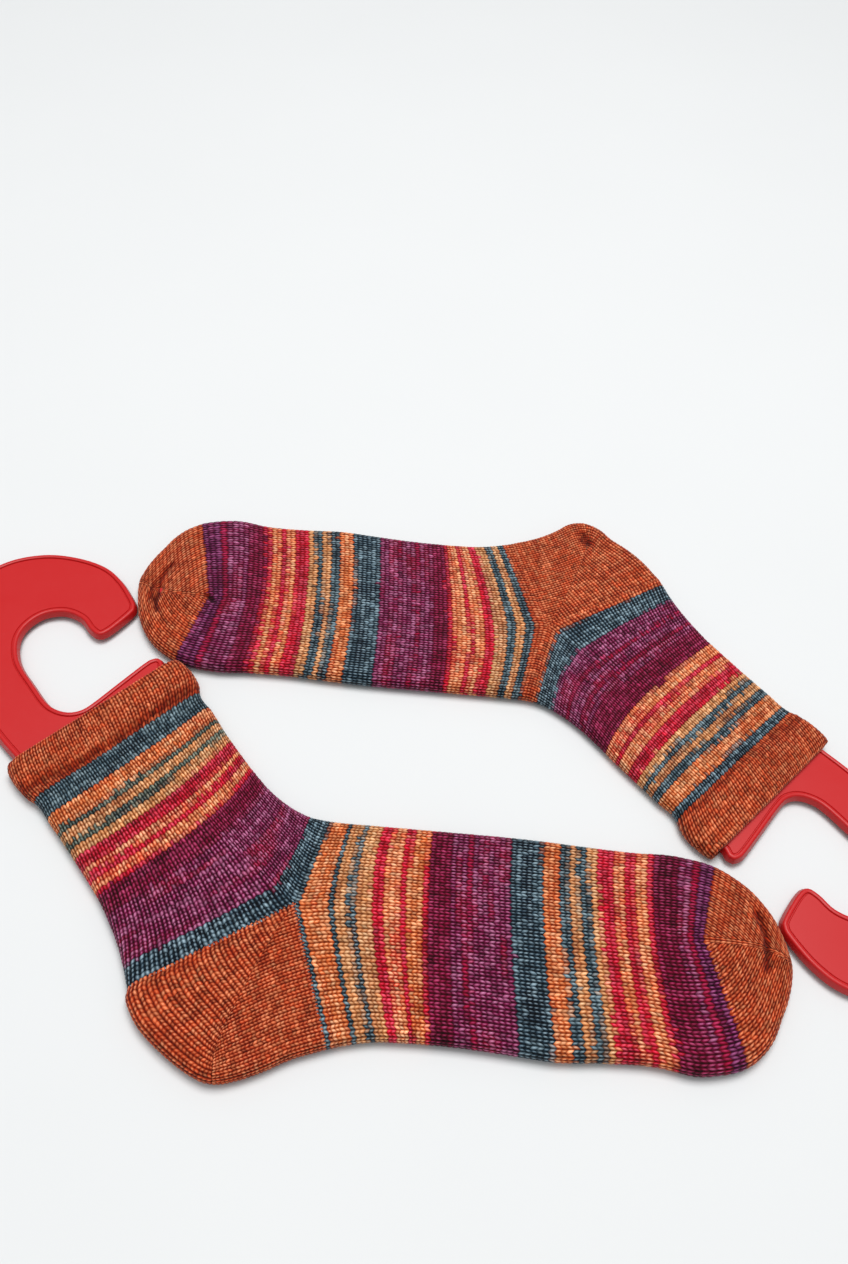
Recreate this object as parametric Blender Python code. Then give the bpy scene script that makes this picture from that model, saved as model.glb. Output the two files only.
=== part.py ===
"""A pair of hand-knitted short socks, each pulled over a flat plastic sock blocker.

Both socks lie flat on the table, toe to cuff beside each other. A sock is five knitted pieces: a turned cuff,
a leg, a short-row heel, a foot and a toe. Each is a wall of cloth around the blocker, flat underneath, and
stands 0.3 mm clear of the next one. A blocker is one moulded plate in the shape of the sock, with an open hook.

Plan positions are in millimetres in the sock's own frame: X along the foot towards the toe, Y towards the
instep, Z up. Every course of knitting is given by three plan points: on the front edge (shin and instep),
on the middle wale of the upper face, and on the back edge (calf and sole).
"""

import math
from collections import namedtuple

import bmesh
import bpy
import numpy as np

MM = 0.001

# Cloth and plate thicknesses.
CLOTH = 1.5
PLATE_THICKNESS = 4.0
PLATE_CLEARANCE = 0.3
SOCK_THICKNESS = 2 * CLOTH + PLATE_THICKNESS + 2 * PLATE_CLEARANCE
EDGE_HEIGHT = SOCK_THICKNESS / 2
EDGE_RADIUS = SOCK_THICKNESS / 2
SEAM_SETBACK = 0.25

# Steps in from an edge, where the rounded edge of the cloth needs points, and shares of the flat face.
EDGE_STEPS = (0.0, 0.7, 2.1, 3.9)
FACE_SHARES = (1 / 3, 2 / 3)

# The plate's upper edge lies this far inside the sock's edge, and its lower edge stands out by the draft.
# The rest is its rounding, rim and sunk panel.
PLATE_INSET = 4.5
PLATE_ROUNDING = 1.0
PLATE_DRAFT = 0.8
RIM_WIDTH = 2.2
RIM_SLOPE = 0.6
PANEL_DEPTH = 0.5

# Colours as linear red, green and blue.
TERRACOTTA = (0.47, 0.12, 0.04)
PLUM = (0.14, 0.02, 0.07)
TEAL = (0.05, 0.11, 0.15)
RED_PLASTIC = (0.60, 0.03, 0.03)
KNIT_ROUGHNESS = 0.9
PLASTIC_ROUGHNESS = 0.35

Course = namedtuple("Course", "front_x front_y middle_x middle_y back_x back_y")
CuffStep = namedtuple("CuffStep", "height front_bulge back_bulge swell")
HeelPoint = namedtuple("HeelPoint", "near_x near_y far_x far_y")
HookPoint = namedtuple("HookPoint", "x y")
Outline = namedtuple("Outline", "points inward")
Sock = namedtuple("Sock", "name turn front_fill cuff_crease")

# front_fill is how much the front of the ankle stands out or in from the pattern, and cuff_crease how deep
# the crease above the cuff's lower edge is.
SOCKS = (
    Sock("near", 0.0, -1.9, 0.5),
    Sock("far", math.pi, 1.9, 0.2),
)

LEG_COURSES = (
    Course(-102.8, 19.0, -129.5, -10.5, -157.2, -40.8),
    Course(-95.4, 10.6, -119.4, -18.6, -148.1, -49.7),
    Course(-88.3, 2.4, -109.2, -26.6, -139.4, -58.7),
    Course(-80.6, -6.0, -98.8, -34.7, -130.8, -68.1),
    Course(-72.2, -15.2, -88.2, -43.0, -122.0, -78.0),
    Course(-63.2, -24.0, -77.2, -51.6, -115.1, -87.6),
    Course(-54.0, -30.4, -66.2, -60.2, -109.8, -96.1),
    Course(-46.3, -33.9, -56.2, -67.9, -106.0, -103.7),
    Course(-40.0, -35.0, -48.0, -73.5, -102.9, -110.8),
)

FOOT_COURSES = (
    Course(-40.0, -35.0, -48.0, -73.5, -28.8, -124.8),
    Course(-32.0, -35.2, -37.0, -72.5, -21.5, -122.5),
    Course(-23.5, -35.1, -26.0, -72.0, -13.0, -120.7),
    Course(-12.0, -34.9, -13.0, -71.8, -3.5, -120.0),
    Course(0.0, -34.7, 0.5, -71.7, 5.5, -119.7),
    Course(17.0, -34.4, 17.5, -71.6, 22.0, -119.8),
    Course(33.0, -34.2, 33.5, -71.5, 38.0, -120.6),
    Course(48.5, -34.4, 48.0, -71.5, 53.0, -121.3),
    Course(66.0, -35.0, 65.8, -71.5, 71.0, -119.9),
    Course(84.0, -34.9, 82.8, -71.5, 89.0, -119.5),
    Course(101.1, -34.2, 97.5, -71.5, 106.2, -121.2),
    Course(116.4, -36.9, 108.8, -71.5, 121.4, -117.0),
)

TOE_COURSES = (
    Course(116.4, -36.9, 108.8, -71.5, 121.4, -117.0),
    Course(123.3, -40.6, 115.5, -72.2, 127.9, -112.1),
    Course(129.6, -45.5, 122.4, -73.2, 132.8, -105.8),
    Course(134.9, -52.1, 129.3, -74.3, 136.3, -98.5),
    Course(139.0, -59.7, 135.5, -75.4, 139.6, -91.3),
    Course(141.2, -67.2, 140.2, -76.4, 141.7, -85.0),
    Course(142.2, -71.5, 142.4, -76.5, 142.5, -81.3),
    Course(142.8, -74.6, 143.2, -76.6, 143.0, -78.8),
)

# How much of front_fill the front edge has at each course.
LEG_FILLS = (0.0, 0.2, 0.6, 0.9, 1.0, 1.0, 0.9, 0.7, 0.55)
FOOT_FILLS = (0.55, 0.55, 0.5, 0.5, 0.5, 0.5, 0.5, 0.5, 0.5, 0.7, 0.9, 0.95)
TOE_FILLS = (0.95, 0.9, 0.75, 0.55, 0.3, 0.1, 0.0, 0.0)

# Height above the cuff's lower edge, how far its front and back stand out, and how far its upper face swells.
CUFF_STEPS = (
    CuffStep(0.0, 0.0, 0.0, 0.1),
    CuffStep(3.0, 1.9, 1.0, 0.8),
    CuffStep(6.4, 3.2, 1.4, 1.0),
    CuffStep(9.0, 3.7, 1.5, 1.0),
    CuffStep(15.0, 3.8, 1.3, 1.0),
    CuffStep(19.4, 3.0, 0.3, 0.9),
    CuffStep(21.2, 1.7, -1.0, 0.3),
    CuffStep(21.6, 0.8, -2.0, -0.3),
)
CREASE_STEP = 2

# The heel's edge from the calf round to the sole, between the ends of the leg and the foot.
HEEL_OUTLINE = (
    HeelPoint(-102.6, -115.0, -100.2, -114.6),
    HeelPoint(-97.3, -122.9, -95.3, -121.3),
    HeelPoint(-90.1, -129.1, -88.1, -128.6),
    HeelPoint(-80.9, -135.1, -80.0, -134.6),
    HeelPoint(-72.7, -139.1, -73.9, -140.8),
    HeelPoint(-66.5, -140.3, -65.9, -144.1),
    HeelPoint(-59.3, -138.7, -58.0, -142.4),
    HeelPoint(-50.2, -134.7, -50.9, -136.4),
    HeelPoint(-40.8, -129.5, -41.5, -130.3),
)
HEEL_NOTCH = 1.5
HEEL_SHARES = (0.0, 0.25, 0.5, 0.75)

# The hook's edge from the back of the cuff, round the outside to the tip, and back round the inside.
HOOK_OUTLINE = (
    HookPoint(-169.5, -22.4),
    HookPoint(-178.5, -14.6),
    HookPoint(-193.0, -0.8),
    HookPoint(-207.0, 14.5),
    HookPoint(-217.5, 32.0),
    HookPoint(-221.0, 50.0),
    HookPoint(-216.5, 67.5),
    HookPoint(-205.0, 80.6),
    HookPoint(-190.0, 87.0),
    HookPoint(-175.0, 87.4),
    HookPoint(-161.0, 83.4),
    HookPoint(-151.0, 76.4),
    HookPoint(-142.9, 66.0),
    HookPoint(-141.1, 61.6),
    HookPoint(-142.1, 57.6),
    HookPoint(-149.2, 46.8),
    HookPoint(-153.3, 44.2),
    HookPoint(-157.6, 46.6),
    HookPoint(-163.1, 52.2),
    HookPoint(-171.5, 55.0),
    HookPoint(-180.3, 52.2),
    HookPoint(-185.9, 44.8),
    HookPoint(-186.9, 35.8),
    HookPoint(-182.7, 24.8),
    HookPoint(-173.5, 14.2),
    HookPoint(-166.0, 6.3),
    HookPoint(-161.0, 3.2),
    HookPoint(-155.5, 2.2),
    HookPoint(-150.5, 3.8),
    HookPoint(-146.4, 8.0),
    HookPoint(-138.0, 19.8),
    HookPoint(-129.8, 31.2),
    HookPoint(-127.2, 33.8),
    HookPoint(-124.6, 34.8),
    HookPoint(-122.5, 33.8),
    HookPoint(-121.2, 30.9),
)
PLATE_SPACING = 5.5
OUTLINE_SPACING = 2.5


def front(course):
    """Return the plan point of a course on the front edge."""
    return np.array((course.front_x, course.front_y))


def middle(course):
    """Return the plan point of a course on the middle wale."""
    return np.array((course.middle_x, course.middle_y))


def back(course):
    """Return the plan point of a course on the back edge."""
    return np.array((course.back_x, course.back_y))


def unit(vector):
    """Return a vector of length one."""
    return vector / np.linalg.norm(vector)


def filled(courses, shares, sock):
    """Return courses with their front edge moved out or in for this sock."""
    moved = []
    for course, share in zip(courses, shares):
        outward = unit(front(course) - middle(course))
        point = front(course) + outward * sock.front_fill * share
        moved.append(course._replace(front_x=point[0], front_y=point[1]))
    return moved


def leg_courses(sock):
    """Return the leg's courses for this sock."""
    return filled(LEG_COURSES, LEG_FILLS, sock)


def foot_courses(sock):
    """Return the foot's courses for this sock."""
    return filled(FOOT_COURSES, FOOT_FILLS, sock)


def toe_courses(sock):
    """Return the toe's courses for this sock."""
    return filled(TOE_COURSES, TOE_FILLS, sock)


def cuff_courses():
    """Return the cuff's courses, straight across the leg's first one, with their bulging sides."""
    first = LEG_COURSES[0]
    across = unit(back(first) - front(first))
    upward = np.array((across[1], -across[0]))
    courses = []
    for step in CUFF_STEPS:
        edge_front = front(first) + upward * step.height - across * step.front_bulge
        edge_back = back(first) + upward * step.height + across * step.back_bulge
        centre = middle(first) + upward * step.height
        courses.append(Course(*edge_front, *centre, *edge_back))
    return courses


def heel_edge(sock):
    """Return the plan points of the heel's edge, without its two ends."""
    if sock.name == "near":
        return [np.array((point.near_x, point.near_y)) for point in HEEL_OUTLINE]
    return [np.array((point.far_x, point.far_y)) for point in HEEL_OUTLINE]


def sock_edge(sock):
    """Return the plan points of the sock's whole edge, from the back of the cuff round the toe to its front."""
    cuff = cuff_courses()
    leg = leg_courses(sock)
    foot = foot_courses(sock)
    toes = toe_courses(sock)
    points = [back(course) for course in reversed(cuff[1:])]
    points += [back(course) for course in leg]
    points += heel_edge(sock)
    points += [back(course) for course in foot]
    points += [back(course) for course in toes[1:]]
    points.append(middle(toes[-1]))
    points += [front(course) for course in reversed(toes[1:])]
    points += [front(course) for course in reversed(foot)]
    points += [front(course) for course in reversed(leg[:-1])]
    points += [front(course) for course in cuff[1:]]
    return points


def sock_outline(sock):
    """Return the smooth outline of the sock, with the direction inwards at each of its points."""
    points = smooth_curve(sock_edge(sock), OUTLINE_SPACING)
    along = np.gradient(points, axis=0)
    inward = np.stack((-along[:, 1], along[:, 0]), axis=1)
    return Outline(points, inward / np.linalg.norm(inward, axis=1)[:, None])


def nearest_edge(outline, point):
    """Return how far a plan point is from the outline, and the direction inwards at the nearest place."""
    start = outline.points[:-1]
    run = outline.points[1:] - start
    share = np.clip(((point - start) * run).sum(1) / (run * run).sum(1), 0, 1)
    gaps = np.linalg.norm(point - start - share[:, None] * run, axis=1)
    index = int(gaps.argmin())
    blend = share[index]
    inward = outline.inward[index] * (1 - blend) + outline.inward[index + 1] * blend
    return gaps[index], unit(inward)


def shell_points(outline, point, swell, upper):
    """Return the outer and the inner point of the cloth above or below a plan point.

    The cloth's edge is a half round and its faces are flat. The inner point lies a wall's thickness inside
    the outer one, along the surface's normal. swell thickens the upper face only.
    """
    gap, inward = nearest_edge(outline, point)
    level = min(gap / EDGE_RADIUS, 1.0)
    sideways = 1.0 - level
    rise = math.sqrt(1.0 - sideways * sideways)
    side = 1 if upper else -1
    extra = swell if upper else 0.0
    outer_z = EDGE_HEIGHT + side * (EDGE_RADIUS + extra) * rise
    wall = CLOTH + extra * rise
    inner_xy = point + inward * wall * sideways
    inner_z = outer_z - side * wall * rise
    return (*point, outer_z), (*inner_xy, inner_z)


def edge_steps(length):
    """Return the steps in from an edge on a line of this length, closer together on a short line."""
    scale = min(1.0, length / (2 * EDGE_STEPS[-1]))
    return [step * scale for step in EDGE_STEPS]


def points_from_edge(edge, goal):
    """Return plan points from an edge point to a goal: the edge steps, then the shares of the rest."""
    length = np.linalg.norm(goal - edge)
    direction = (goal - edge) / length
    steps = edge_steps(length)
    rest = length - steps[-1]
    steps += [steps[-1] + rest * share for share in FACE_SHARES]
    return [edge + direction * step for step in steps]


def course_plan(course):
    """Return the plan points of a course on one face, from the front edge to the back edge."""
    from_front = points_from_edge(front(course), middle(course))
    from_back = points_from_edge(back(course), middle(course))
    return from_front + [middle(course)] + from_back[::-1]


def set_back(line, neighbour):
    """Return an end course's plan points, moved off the seam towards its neighbour course.

    Each straight half of the course moves square to itself, so that the seam's gap is even.
    """
    centre = len(line) // 2
    moved = []
    for index, point in enumerate(line):
        half = line[centre] - line[0] if index <= centre else line[-1] - line[centre]
        square = unit(np.array((-half[1], half[0])))
        if square @ (neighbour[index] - point) < 0:
            square = -square
        moved.append(point + square * SEAM_SETBACK)
    return moved


def tube_lines(courses, free_start=False, free_end=False):
    """Return the plan lines of a tube's courses, set back at each end that meets another piece."""
    lines = [course_plan(course) for course in courses]
    if not free_start:
        lines[0] = set_back(lines[0], lines[1])
    if not free_end:
        lines[-1] = set_back(lines[-1], lines[-2])
    return lines


def ring(outline, line, swell):
    """Return the outer and the inner ring of a tube at one plan line, both as lists of points."""
    upper = [shell_points(outline, point, swell, True) for point in line]
    lower = [shell_points(outline, point, swell, False) for point in line[1:-1]]
    both = upper + lower[::-1]
    return [pair[0] for pair in both], [pair[1] for pair in both]


def new_object(name, builder, colour, roughness, parent):
    """Make an object from a filled bmesh, with its own material, under its sock's empty."""
    bmesh.ops.recalc_face_normals(builder, faces=builder.faces)
    if builder.calc_volume(signed=True) < 0:
        bmesh.ops.reverse_faces(builder, faces=builder.faces)
    for vertex in builder.verts:
        vertex.co *= MM
    mesh = bpy.data.meshes.new(name)
    builder.to_mesh(mesh)
    builder.free()
    mesh.shade_smooth()
    mesh.set_sharp_from_angle(angle=math.radians(50))
    material = bpy.data.materials.new(name)
    material.use_nodes = True
    shader = material.node_tree.nodes["Principled BSDF"]
    shader.inputs["Base Color"].default_value = (*colour, 1.0)
    shader.inputs["Roughness"].default_value = roughness
    shader.inputs["Metallic"].default_value = 0.0
    mesh.materials.append(material)
    made = bpy.data.objects.new(name, mesh)
    made.parent = parent
    bpy.context.collection.objects.link(made)
    return made


def add_loop(builder, points):
    """Add a list of points to a bmesh."""
    return [builder.verts.new(point) for point in points]


def bridge(builder, first, second, closed=True):
    """Join two equal lists of vertices with four-sided faces."""
    count = len(first)
    last = count if closed else count - 1
    for index in range(last):
        following = (index + 1) % count
        builder.faces.new((first[index], first[following], second[following], second[index]))


def tube(outline, lines, swells):
    """Return a bmesh of a tube of cloth, open at both ends, with a ring at each plan line."""
    builder = bmesh.new()
    outer = []
    inner = []
    for line, swell in zip(lines, swells):
        outer_points, inner_points = ring(outline, line, swell)
        outer.append(add_loop(builder, outer_points))
        inner.append(add_loop(builder, inner_points))
    for index in range(len(lines) - 1):
        bridge(builder, outer[index], outer[index + 1])
        bridge(builder, inner[index + 1], inner[index])
    bridge(builder, inner[0], outer[0])
    bridge(builder, outer[-1], inner[-1])
    return builder


def closing_line(builder, rings, line, shift):
    """Close a run of rings at the tip: the upper and lower face meet in one line at mid height."""
    tip = add_loop(builder, [(*(point + shift), EDGE_HEIGHT) for point in line])
    closed_ring = tip + tip[-2:0:-1]
    last = rings[-1]
    for index in range(len(last)):
        following = (index + 1) % len(last)
        corners = (last[index], last[following], closed_ring[following], closed_ring[index])
        builder.faces.new(dict.fromkeys(corners))


def toe(outline, sock):
    """Return a bmesh of the toe: a cup of cloth, open towards the foot."""
    lines = tube_lines(toe_courses(sock), free_end=True)
    builder = bmesh.new()
    outer = []
    inner = []
    for line in lines[:-1]:
        outer_points, inner_points = ring(outline, line, 0.0)
        outer.append(add_loop(builder, outer_points))
        inner.append(add_loop(builder, inner_points))
    for index in range(len(outer) - 1):
        bridge(builder, outer[index], outer[index + 1])
        bridge(builder, inner[index + 1], inner[index])
    bridge(builder, inner[0], outer[0])
    closing_line(builder, outer, lines[-1], np.array((0.0, 0.0)))
    closing_line(builder, inner, lines[-1], np.array((-CLOTH, 0.0)))
    return builder


def heel(outline, sock):
    """Return a bmesh of the heel: a pocket of cloth that fans out from the gusset points of both faces."""
    gusset = middle(LEG_COURSES[-1])
    edge = [back(LEG_COURSES[-1])] + heel_edge(sock) + [back(FOOT_COURSES[0])]
    builder = bmesh.new()
    sections = []
    for index, goal in enumerate(edge):
        direction = unit(goal - gusset)
        start = gusset + direction * HEEL_NOTCH
        length = np.linalg.norm(goal - start)
        flat = length - EDGE_STEPS[-1]
        line = [start + direction * flat * share for share in HEEL_SHARES]
        line += [goal - direction * step for step in reversed(EDGE_STEPS)]
        if index in (0, len(edge) - 1):
            square = np.array((-direction[1], direction[0]))
            turn = SEAM_SETBACK if index == 0 else -SEAM_SETBACK
            line = [point + square * turn for point in line]
        upper = [shell_points(outline, point, 0.0, True) for point in line]
        lower = [shell_points(outline, point, 0.0, False) for point in line[:-1]]
        chain = upper + lower[::-1]
        loop = [pair[0] for pair in chain] + [pair[1] for pair in reversed(chain)]
        sections.append(add_loop(builder, loop))
    for first, second in zip(sections, sections[1:]):
        bridge(builder, first, second)
    for section in (sections[0], sections[-1]):
        count = len(section) // 2
        for index in range(count - 1):
            across = (section[index], section[index + 1])
            inside = (section[-2 - index], section[-1 - index])
            builder.faces.new((*across, *inside))
    return builder


def smooth_curve(points, spacing):
    """Return points about a spacing apart on a smooth curve through the given points."""
    padded = [2 * points[0] - points[1]] + list(points) + [2 * points[-1] - points[-2]]
    curve = []
    for index in range(1, len(padded) - 2):
        before, start, end, after = padded[index - 1 : index + 3]
        pieces = max(1, round(np.linalg.norm(end - start) / spacing))
        for piece in range(pieces):
            share = piece / pieces
            curve.append(
                0.5
                * (
                    2 * start
                    + (end - before) * share
                    + (2 * before - 5 * start + 4 * end - after) * share**2
                    + (3 * start - before - 3 * end + after) * share**3
                )
            )
    curve.append(points[-1])
    return np.array(curve)


def moved_in(loop, distance):
    """Return a closed loop of plan points, each moved square to the loop, towards its inside."""
    before = np.roll(loop, 1, axis=0)
    after = np.roll(loop, -1, axis=0)
    into = loop - before
    out = after - loop
    into /= np.linalg.norm(into, axis=1)[:, None]
    out /= np.linalg.norm(out, axis=1)[:, None]
    square = np.stack((-into[:, 1] - out[:, 1], into[:, 0] + out[:, 0]), axis=1)
    square /= np.linalg.norm(square, axis=1)[:, None]
    stretch = 1.0 / np.sqrt((1.0 + (into * out).sum(1)) / 2.0)
    return loop + square * (distance * np.minimum(stretch, 1.3))[:, None]


def moved_in_open(points, distance):
    """Return an open run of plan points, moved square to itself, without points that crowd together."""
    ahead = np.gradient(points, axis=0)
    ahead /= np.linalg.norm(ahead, axis=1)[:, None]
    moved = points + np.stack((-ahead[:, 1], ahead[:, 0]), axis=1) * distance
    kept = [moved[0]]
    for point in moved[1:-1]:
        if np.linalg.norm(point - kept[-1]) > PLATE_SPACING:
            kept.append(point)
    kept.append(moved[-1])
    return kept


def plate_loop(sock):
    """Return the blocker's edge: the sock's edge without its cuff, moved in, and then the hook."""
    cuff_points = len(CUFF_STEPS) - 1
    inside = np.array(sock_edge(sock)[cuff_points:-cuff_points])
    body = smooth_curve(moved_in_open(inside, PLATE_INSET), PLATE_SPACING * 1.6)
    hook = smooth_curve([np.array(point) for point in HOOK_OUTLINE], PLATE_SPACING)
    return np.array(list(body) + list(hook[::-1]))


def blocker(sock):
    """Return a bmesh of the blocker: a plate with rounded edges, a raised rim and a sunk upper panel."""
    loop = plate_loop(sock)
    bottom = EDGE_HEIGHT - PLATE_THICKNESS / 2
    top = EDGE_HEIGHT + PLATE_THICKNESS / 2
    profile = (
        (PLATE_ROUNDING - PLATE_DRAFT, bottom),
        (-PLATE_DRAFT, bottom + PLATE_ROUNDING),
        (0.0, top - PLATE_ROUNDING),
        (PLATE_ROUNDING, top),
        (RIM_WIDTH, top),
        (RIM_WIDTH + RIM_SLOPE, top - PANEL_DEPTH),
    )
    builder = bmesh.new()
    loops = []
    for inset, height in profile:
        plan = moved_in(loop, inset)
        loops.append(add_loop(builder, [(*point, height) for point in plan]))
    for first, second in zip(loops, loops[1:]):
        bridge(builder, first, second)
    builder.faces.new(reversed(loops[0]))
    builder.faces.new(loops[-1])
    builder.normal_update()
    bmesh.ops.triangulate(builder, faces=[face for face in builder.faces if len(face.verts) > 4])
    return builder


def cuff_swells(sock):
    """Return how far the cuff's upper face swells at each step, with this sock's crease."""
    swells = [step.swell for step in CUFF_STEPS]
    swells[CREASE_STEP] -= 2 * sock.cuff_crease
    return swells


def make_sock(sock, centre_y):
    """Make one sock and its blocker, under an empty that turns them about the pair's centre."""
    holder = bpy.data.objects.new(f"{sock.name}_sock", None)
    holder.location = (0.0, centre_y * MM, 0.0)
    holder.rotation_euler = (0.0, 0.0, sock.turn)
    bpy.context.collection.objects.link(holder)
    outline = sock_outline(sock)
    cuff_lines = tube_lines(cuff_courses(), free_end=True)
    leg_lines = tube_lines(leg_courses(sock))
    foot_lines = tube_lines(foot_courses(sock))
    level = [0.0] * len(FOOT_COURSES)
    pieces = (
        ("cuff", tube(outline, cuff_lines, cuff_swells(sock)), TERRACOTTA, KNIT_ROUGHNESS),
        ("leg", tube(outline, leg_lines, level), TEAL, KNIT_ROUGHNESS),
        ("heel", heel(outline, sock), TERRACOTTA, KNIT_ROUGHNESS),
        ("foot", tube(outline, foot_lines, level), PLUM, KNIT_ROUGHNESS),
        ("toe", toe(outline, sock), TERRACOTTA, KNIT_ROUGHNESS),
        ("blocker", blocker(sock), RED_PLASTIC, PLASTIC_ROUGHNESS),
    )
    for name, builder, colour, roughness in pieces:
        new_object(f"{sock.name}_{name}", builder, colour, roughness, holder)


def main():
    """Clear the scene and make both socks, with the pair's box centred on the origin."""
    for item in list(bpy.data.objects):
        bpy.data.objects.remove(item, do_unlink=True)
    near_depth = min(point.near_y for point in HEEL_OUTLINE)
    far_depth = min(point.far_y for point in HEEL_OUTLINE)
    centre_y = (far_depth - near_depth) / 2
    for sock in SOCKS:
        make_sock(sock, centre_y)


main()
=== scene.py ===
"""A pair of hand-knitted, self-striping socks, each pulled flat over a red plastic sock blocker.

The knitting is real relief: every stitch is a V of two raised legs, laid on a map of wales and courses that
follows the pattern of the sock from the cuff, over the short-row heel, to the grafted toe.

Plan positions are in millimetres in the sock's own frame: X along the foot towards the toe, Y towards the
instep, Z up from the table. Wales are counted round the tube from the front edge, courses from the cuff.
"""

from __future__ import annotations

import logging
import math
from dataclasses import dataclass, field, replace
from enum import Enum
from typing import Any, NamedTuple, Sequence

import bpy
import numpy as np
from mathutils import Matrix, Vector

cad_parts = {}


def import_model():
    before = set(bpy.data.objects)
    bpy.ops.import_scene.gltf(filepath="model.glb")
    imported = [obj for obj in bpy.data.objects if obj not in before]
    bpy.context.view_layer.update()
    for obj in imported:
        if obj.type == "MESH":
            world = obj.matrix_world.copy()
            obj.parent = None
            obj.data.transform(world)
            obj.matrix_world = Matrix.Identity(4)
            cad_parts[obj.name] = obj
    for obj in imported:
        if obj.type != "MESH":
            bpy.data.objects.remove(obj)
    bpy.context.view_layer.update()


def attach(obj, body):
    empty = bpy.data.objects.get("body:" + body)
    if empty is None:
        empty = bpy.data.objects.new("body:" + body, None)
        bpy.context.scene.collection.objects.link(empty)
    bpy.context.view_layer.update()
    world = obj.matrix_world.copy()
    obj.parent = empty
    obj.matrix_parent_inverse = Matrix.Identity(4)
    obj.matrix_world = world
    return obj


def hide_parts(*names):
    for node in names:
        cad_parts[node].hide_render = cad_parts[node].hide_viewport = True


LOG = logging.getLogger("socks")

MM = 0.001
Grid = np.ndarray

# Places round a tube: 0 at the front edge, 1 on the upper face's middle wale, 2 at the back edge, 3 on the
# lower face's middle wale, and at ROUND the front edge again.
ROUND = 4.0
# Points nearer than WELD, in metres, are one point. SNAP is the rounding let pass when places are counted,
# and TINY keeps a length of nothing from being divided by.
WELD = 0.0005 * MM
SNAP = 0.01
TINY = 1e-9


class Side(Enum):
    """Which sock of the pair a piece belongs to."""

    NEAR = "near"
    FAR = "far"


class Course(NamedTuple):
    """Plan points of one course: on the front edge, the middle wale and the back edge."""

    front_x: float
    front_y: float
    middle_x: float
    middle_y: float
    back_x: float
    back_y: float


class CuffStep(NamedTuple):
    """A height above the cuff's lower edge, how far its front and back stand out there, and its swelling."""

    height: float
    front_bulge: float
    back_bulge: float
    swell: float


class Band(NamedTuple):
    """A stripe: where it ends along the middle wale, and its dye."""

    end: float
    dye: "Dye"


class Crease(NamedTuple):
    """A soft trough pressed into the upper face: points along it, half width, depth and painted shade."""

    points: tuple[tuple[float, float], ...]
    width: float
    depth: float
    shade: float


@dataclass(frozen=True)
class Yarn:
    """One dye of the yarn in sRGB from 0 to 255: its main ply, pale flecks, and darker or redder runs."""

    ply: tuple[int, int, int]
    fleck: tuple[int, int, int]
    run: tuple[int, int, int]
    flecks: float = 0.5


class Dye(Enum):
    """The colours of the yarn, in a dyer's words."""

    TERRACOTTA = Yarn((184, 83, 46), (232, 162, 120), (170, 70, 38), 0.4)
    NAVY = Yarn((50, 68, 80), (168, 190, 200), (32, 44, 58), 0.5)
    TEAL = Yarn((62, 80, 90), (160, 178, 184), (42, 56, 68), 0.5)
    SEA = Yarn((86, 96, 90), (170, 170, 152), (56, 70, 74), 0.45)
    ORANGE = Yarn((206, 116, 66), (246, 196, 154), (192, 90, 46), 0.55)
    PEACH = Yarn((214, 126, 84), (248, 204, 164), (202, 80, 60), 0.55)
    TAN = Yarn((204, 144, 98), (238, 200, 160), (180, 116, 78), 0.5)
    CRIMSON = Yarn((194, 16, 52), (236, 112, 132), (158, 8, 42), 0.4)
    BERRY = Yarn((144, 10, 56), (196, 66, 112), (116, 6, 52), 0.35)
    PLUM = Yarn((120, 4, 54), (188, 84, 124), (96, 0, 42), 0.4)
    PURPLE = Yarn((120, 24, 74), (202, 138, 172), (146, 12, 62), 0.5)
    VIOLET = Yarn((100, 18, 72), (184, 112, 156), (116, 12, 62), 0.45)


# The courses that shape the leg, the foot and the toe, and the share of front_fill that moves their fronts.
LEG_COURSES = (
    Course(-102.8, 19.0, -129.5, -10.5, -157.2, -40.8),
    Course(-95.4, 10.6, -119.4, -18.6, -148.1, -49.7),
    Course(-88.3, 2.4, -109.2, -26.6, -139.4, -58.7),
    Course(-80.6, -6.0, -98.8, -34.7, -130.8, -68.1),
    Course(-72.2, -15.2, -88.2, -43.0, -122.0, -78.0),
    Course(-63.2, -24.0, -77.2, -51.6, -115.1, -87.6),
    Course(-54.0, -30.4, -66.2, -60.2, -109.8, -96.1),
    Course(-46.3, -33.9, -56.2, -67.9, -106.0, -103.7),
    Course(-40.0, -35.0, -48.0, -73.5, -102.9, -110.8),
)
FOOT_COURSES = (
    Course(-40.0, -35.0, -48.0, -73.5, -28.8, -124.8),
    Course(-32.0, -35.2, -37.0, -72.5, -21.5, -122.5),
    Course(-23.5, -35.1, -26.0, -72.0, -13.0, -120.7),
    Course(-12.0, -34.9, -13.0, -71.8, -3.5, -120.0),
    Course(0.0, -34.7, 0.5, -71.7, 5.5, -119.7),
    Course(17.0, -34.4, 17.5, -71.6, 22.0, -119.8),
    Course(33.0, -34.2, 33.5, -71.5, 38.0, -120.6),
    Course(48.5, -34.4, 48.0, -71.5, 53.0, -121.3),
    Course(66.0, -35.0, 65.8, -71.5, 71.0, -119.9),
    Course(84.0, -34.9, 82.8, -71.5, 89.0, -119.5),
    Course(101.1, -34.2, 97.5, -71.5, 106.2, -121.2),
    Course(116.4, -36.9, 108.8, -70.9, 121.4, -117.0),
)
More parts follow.
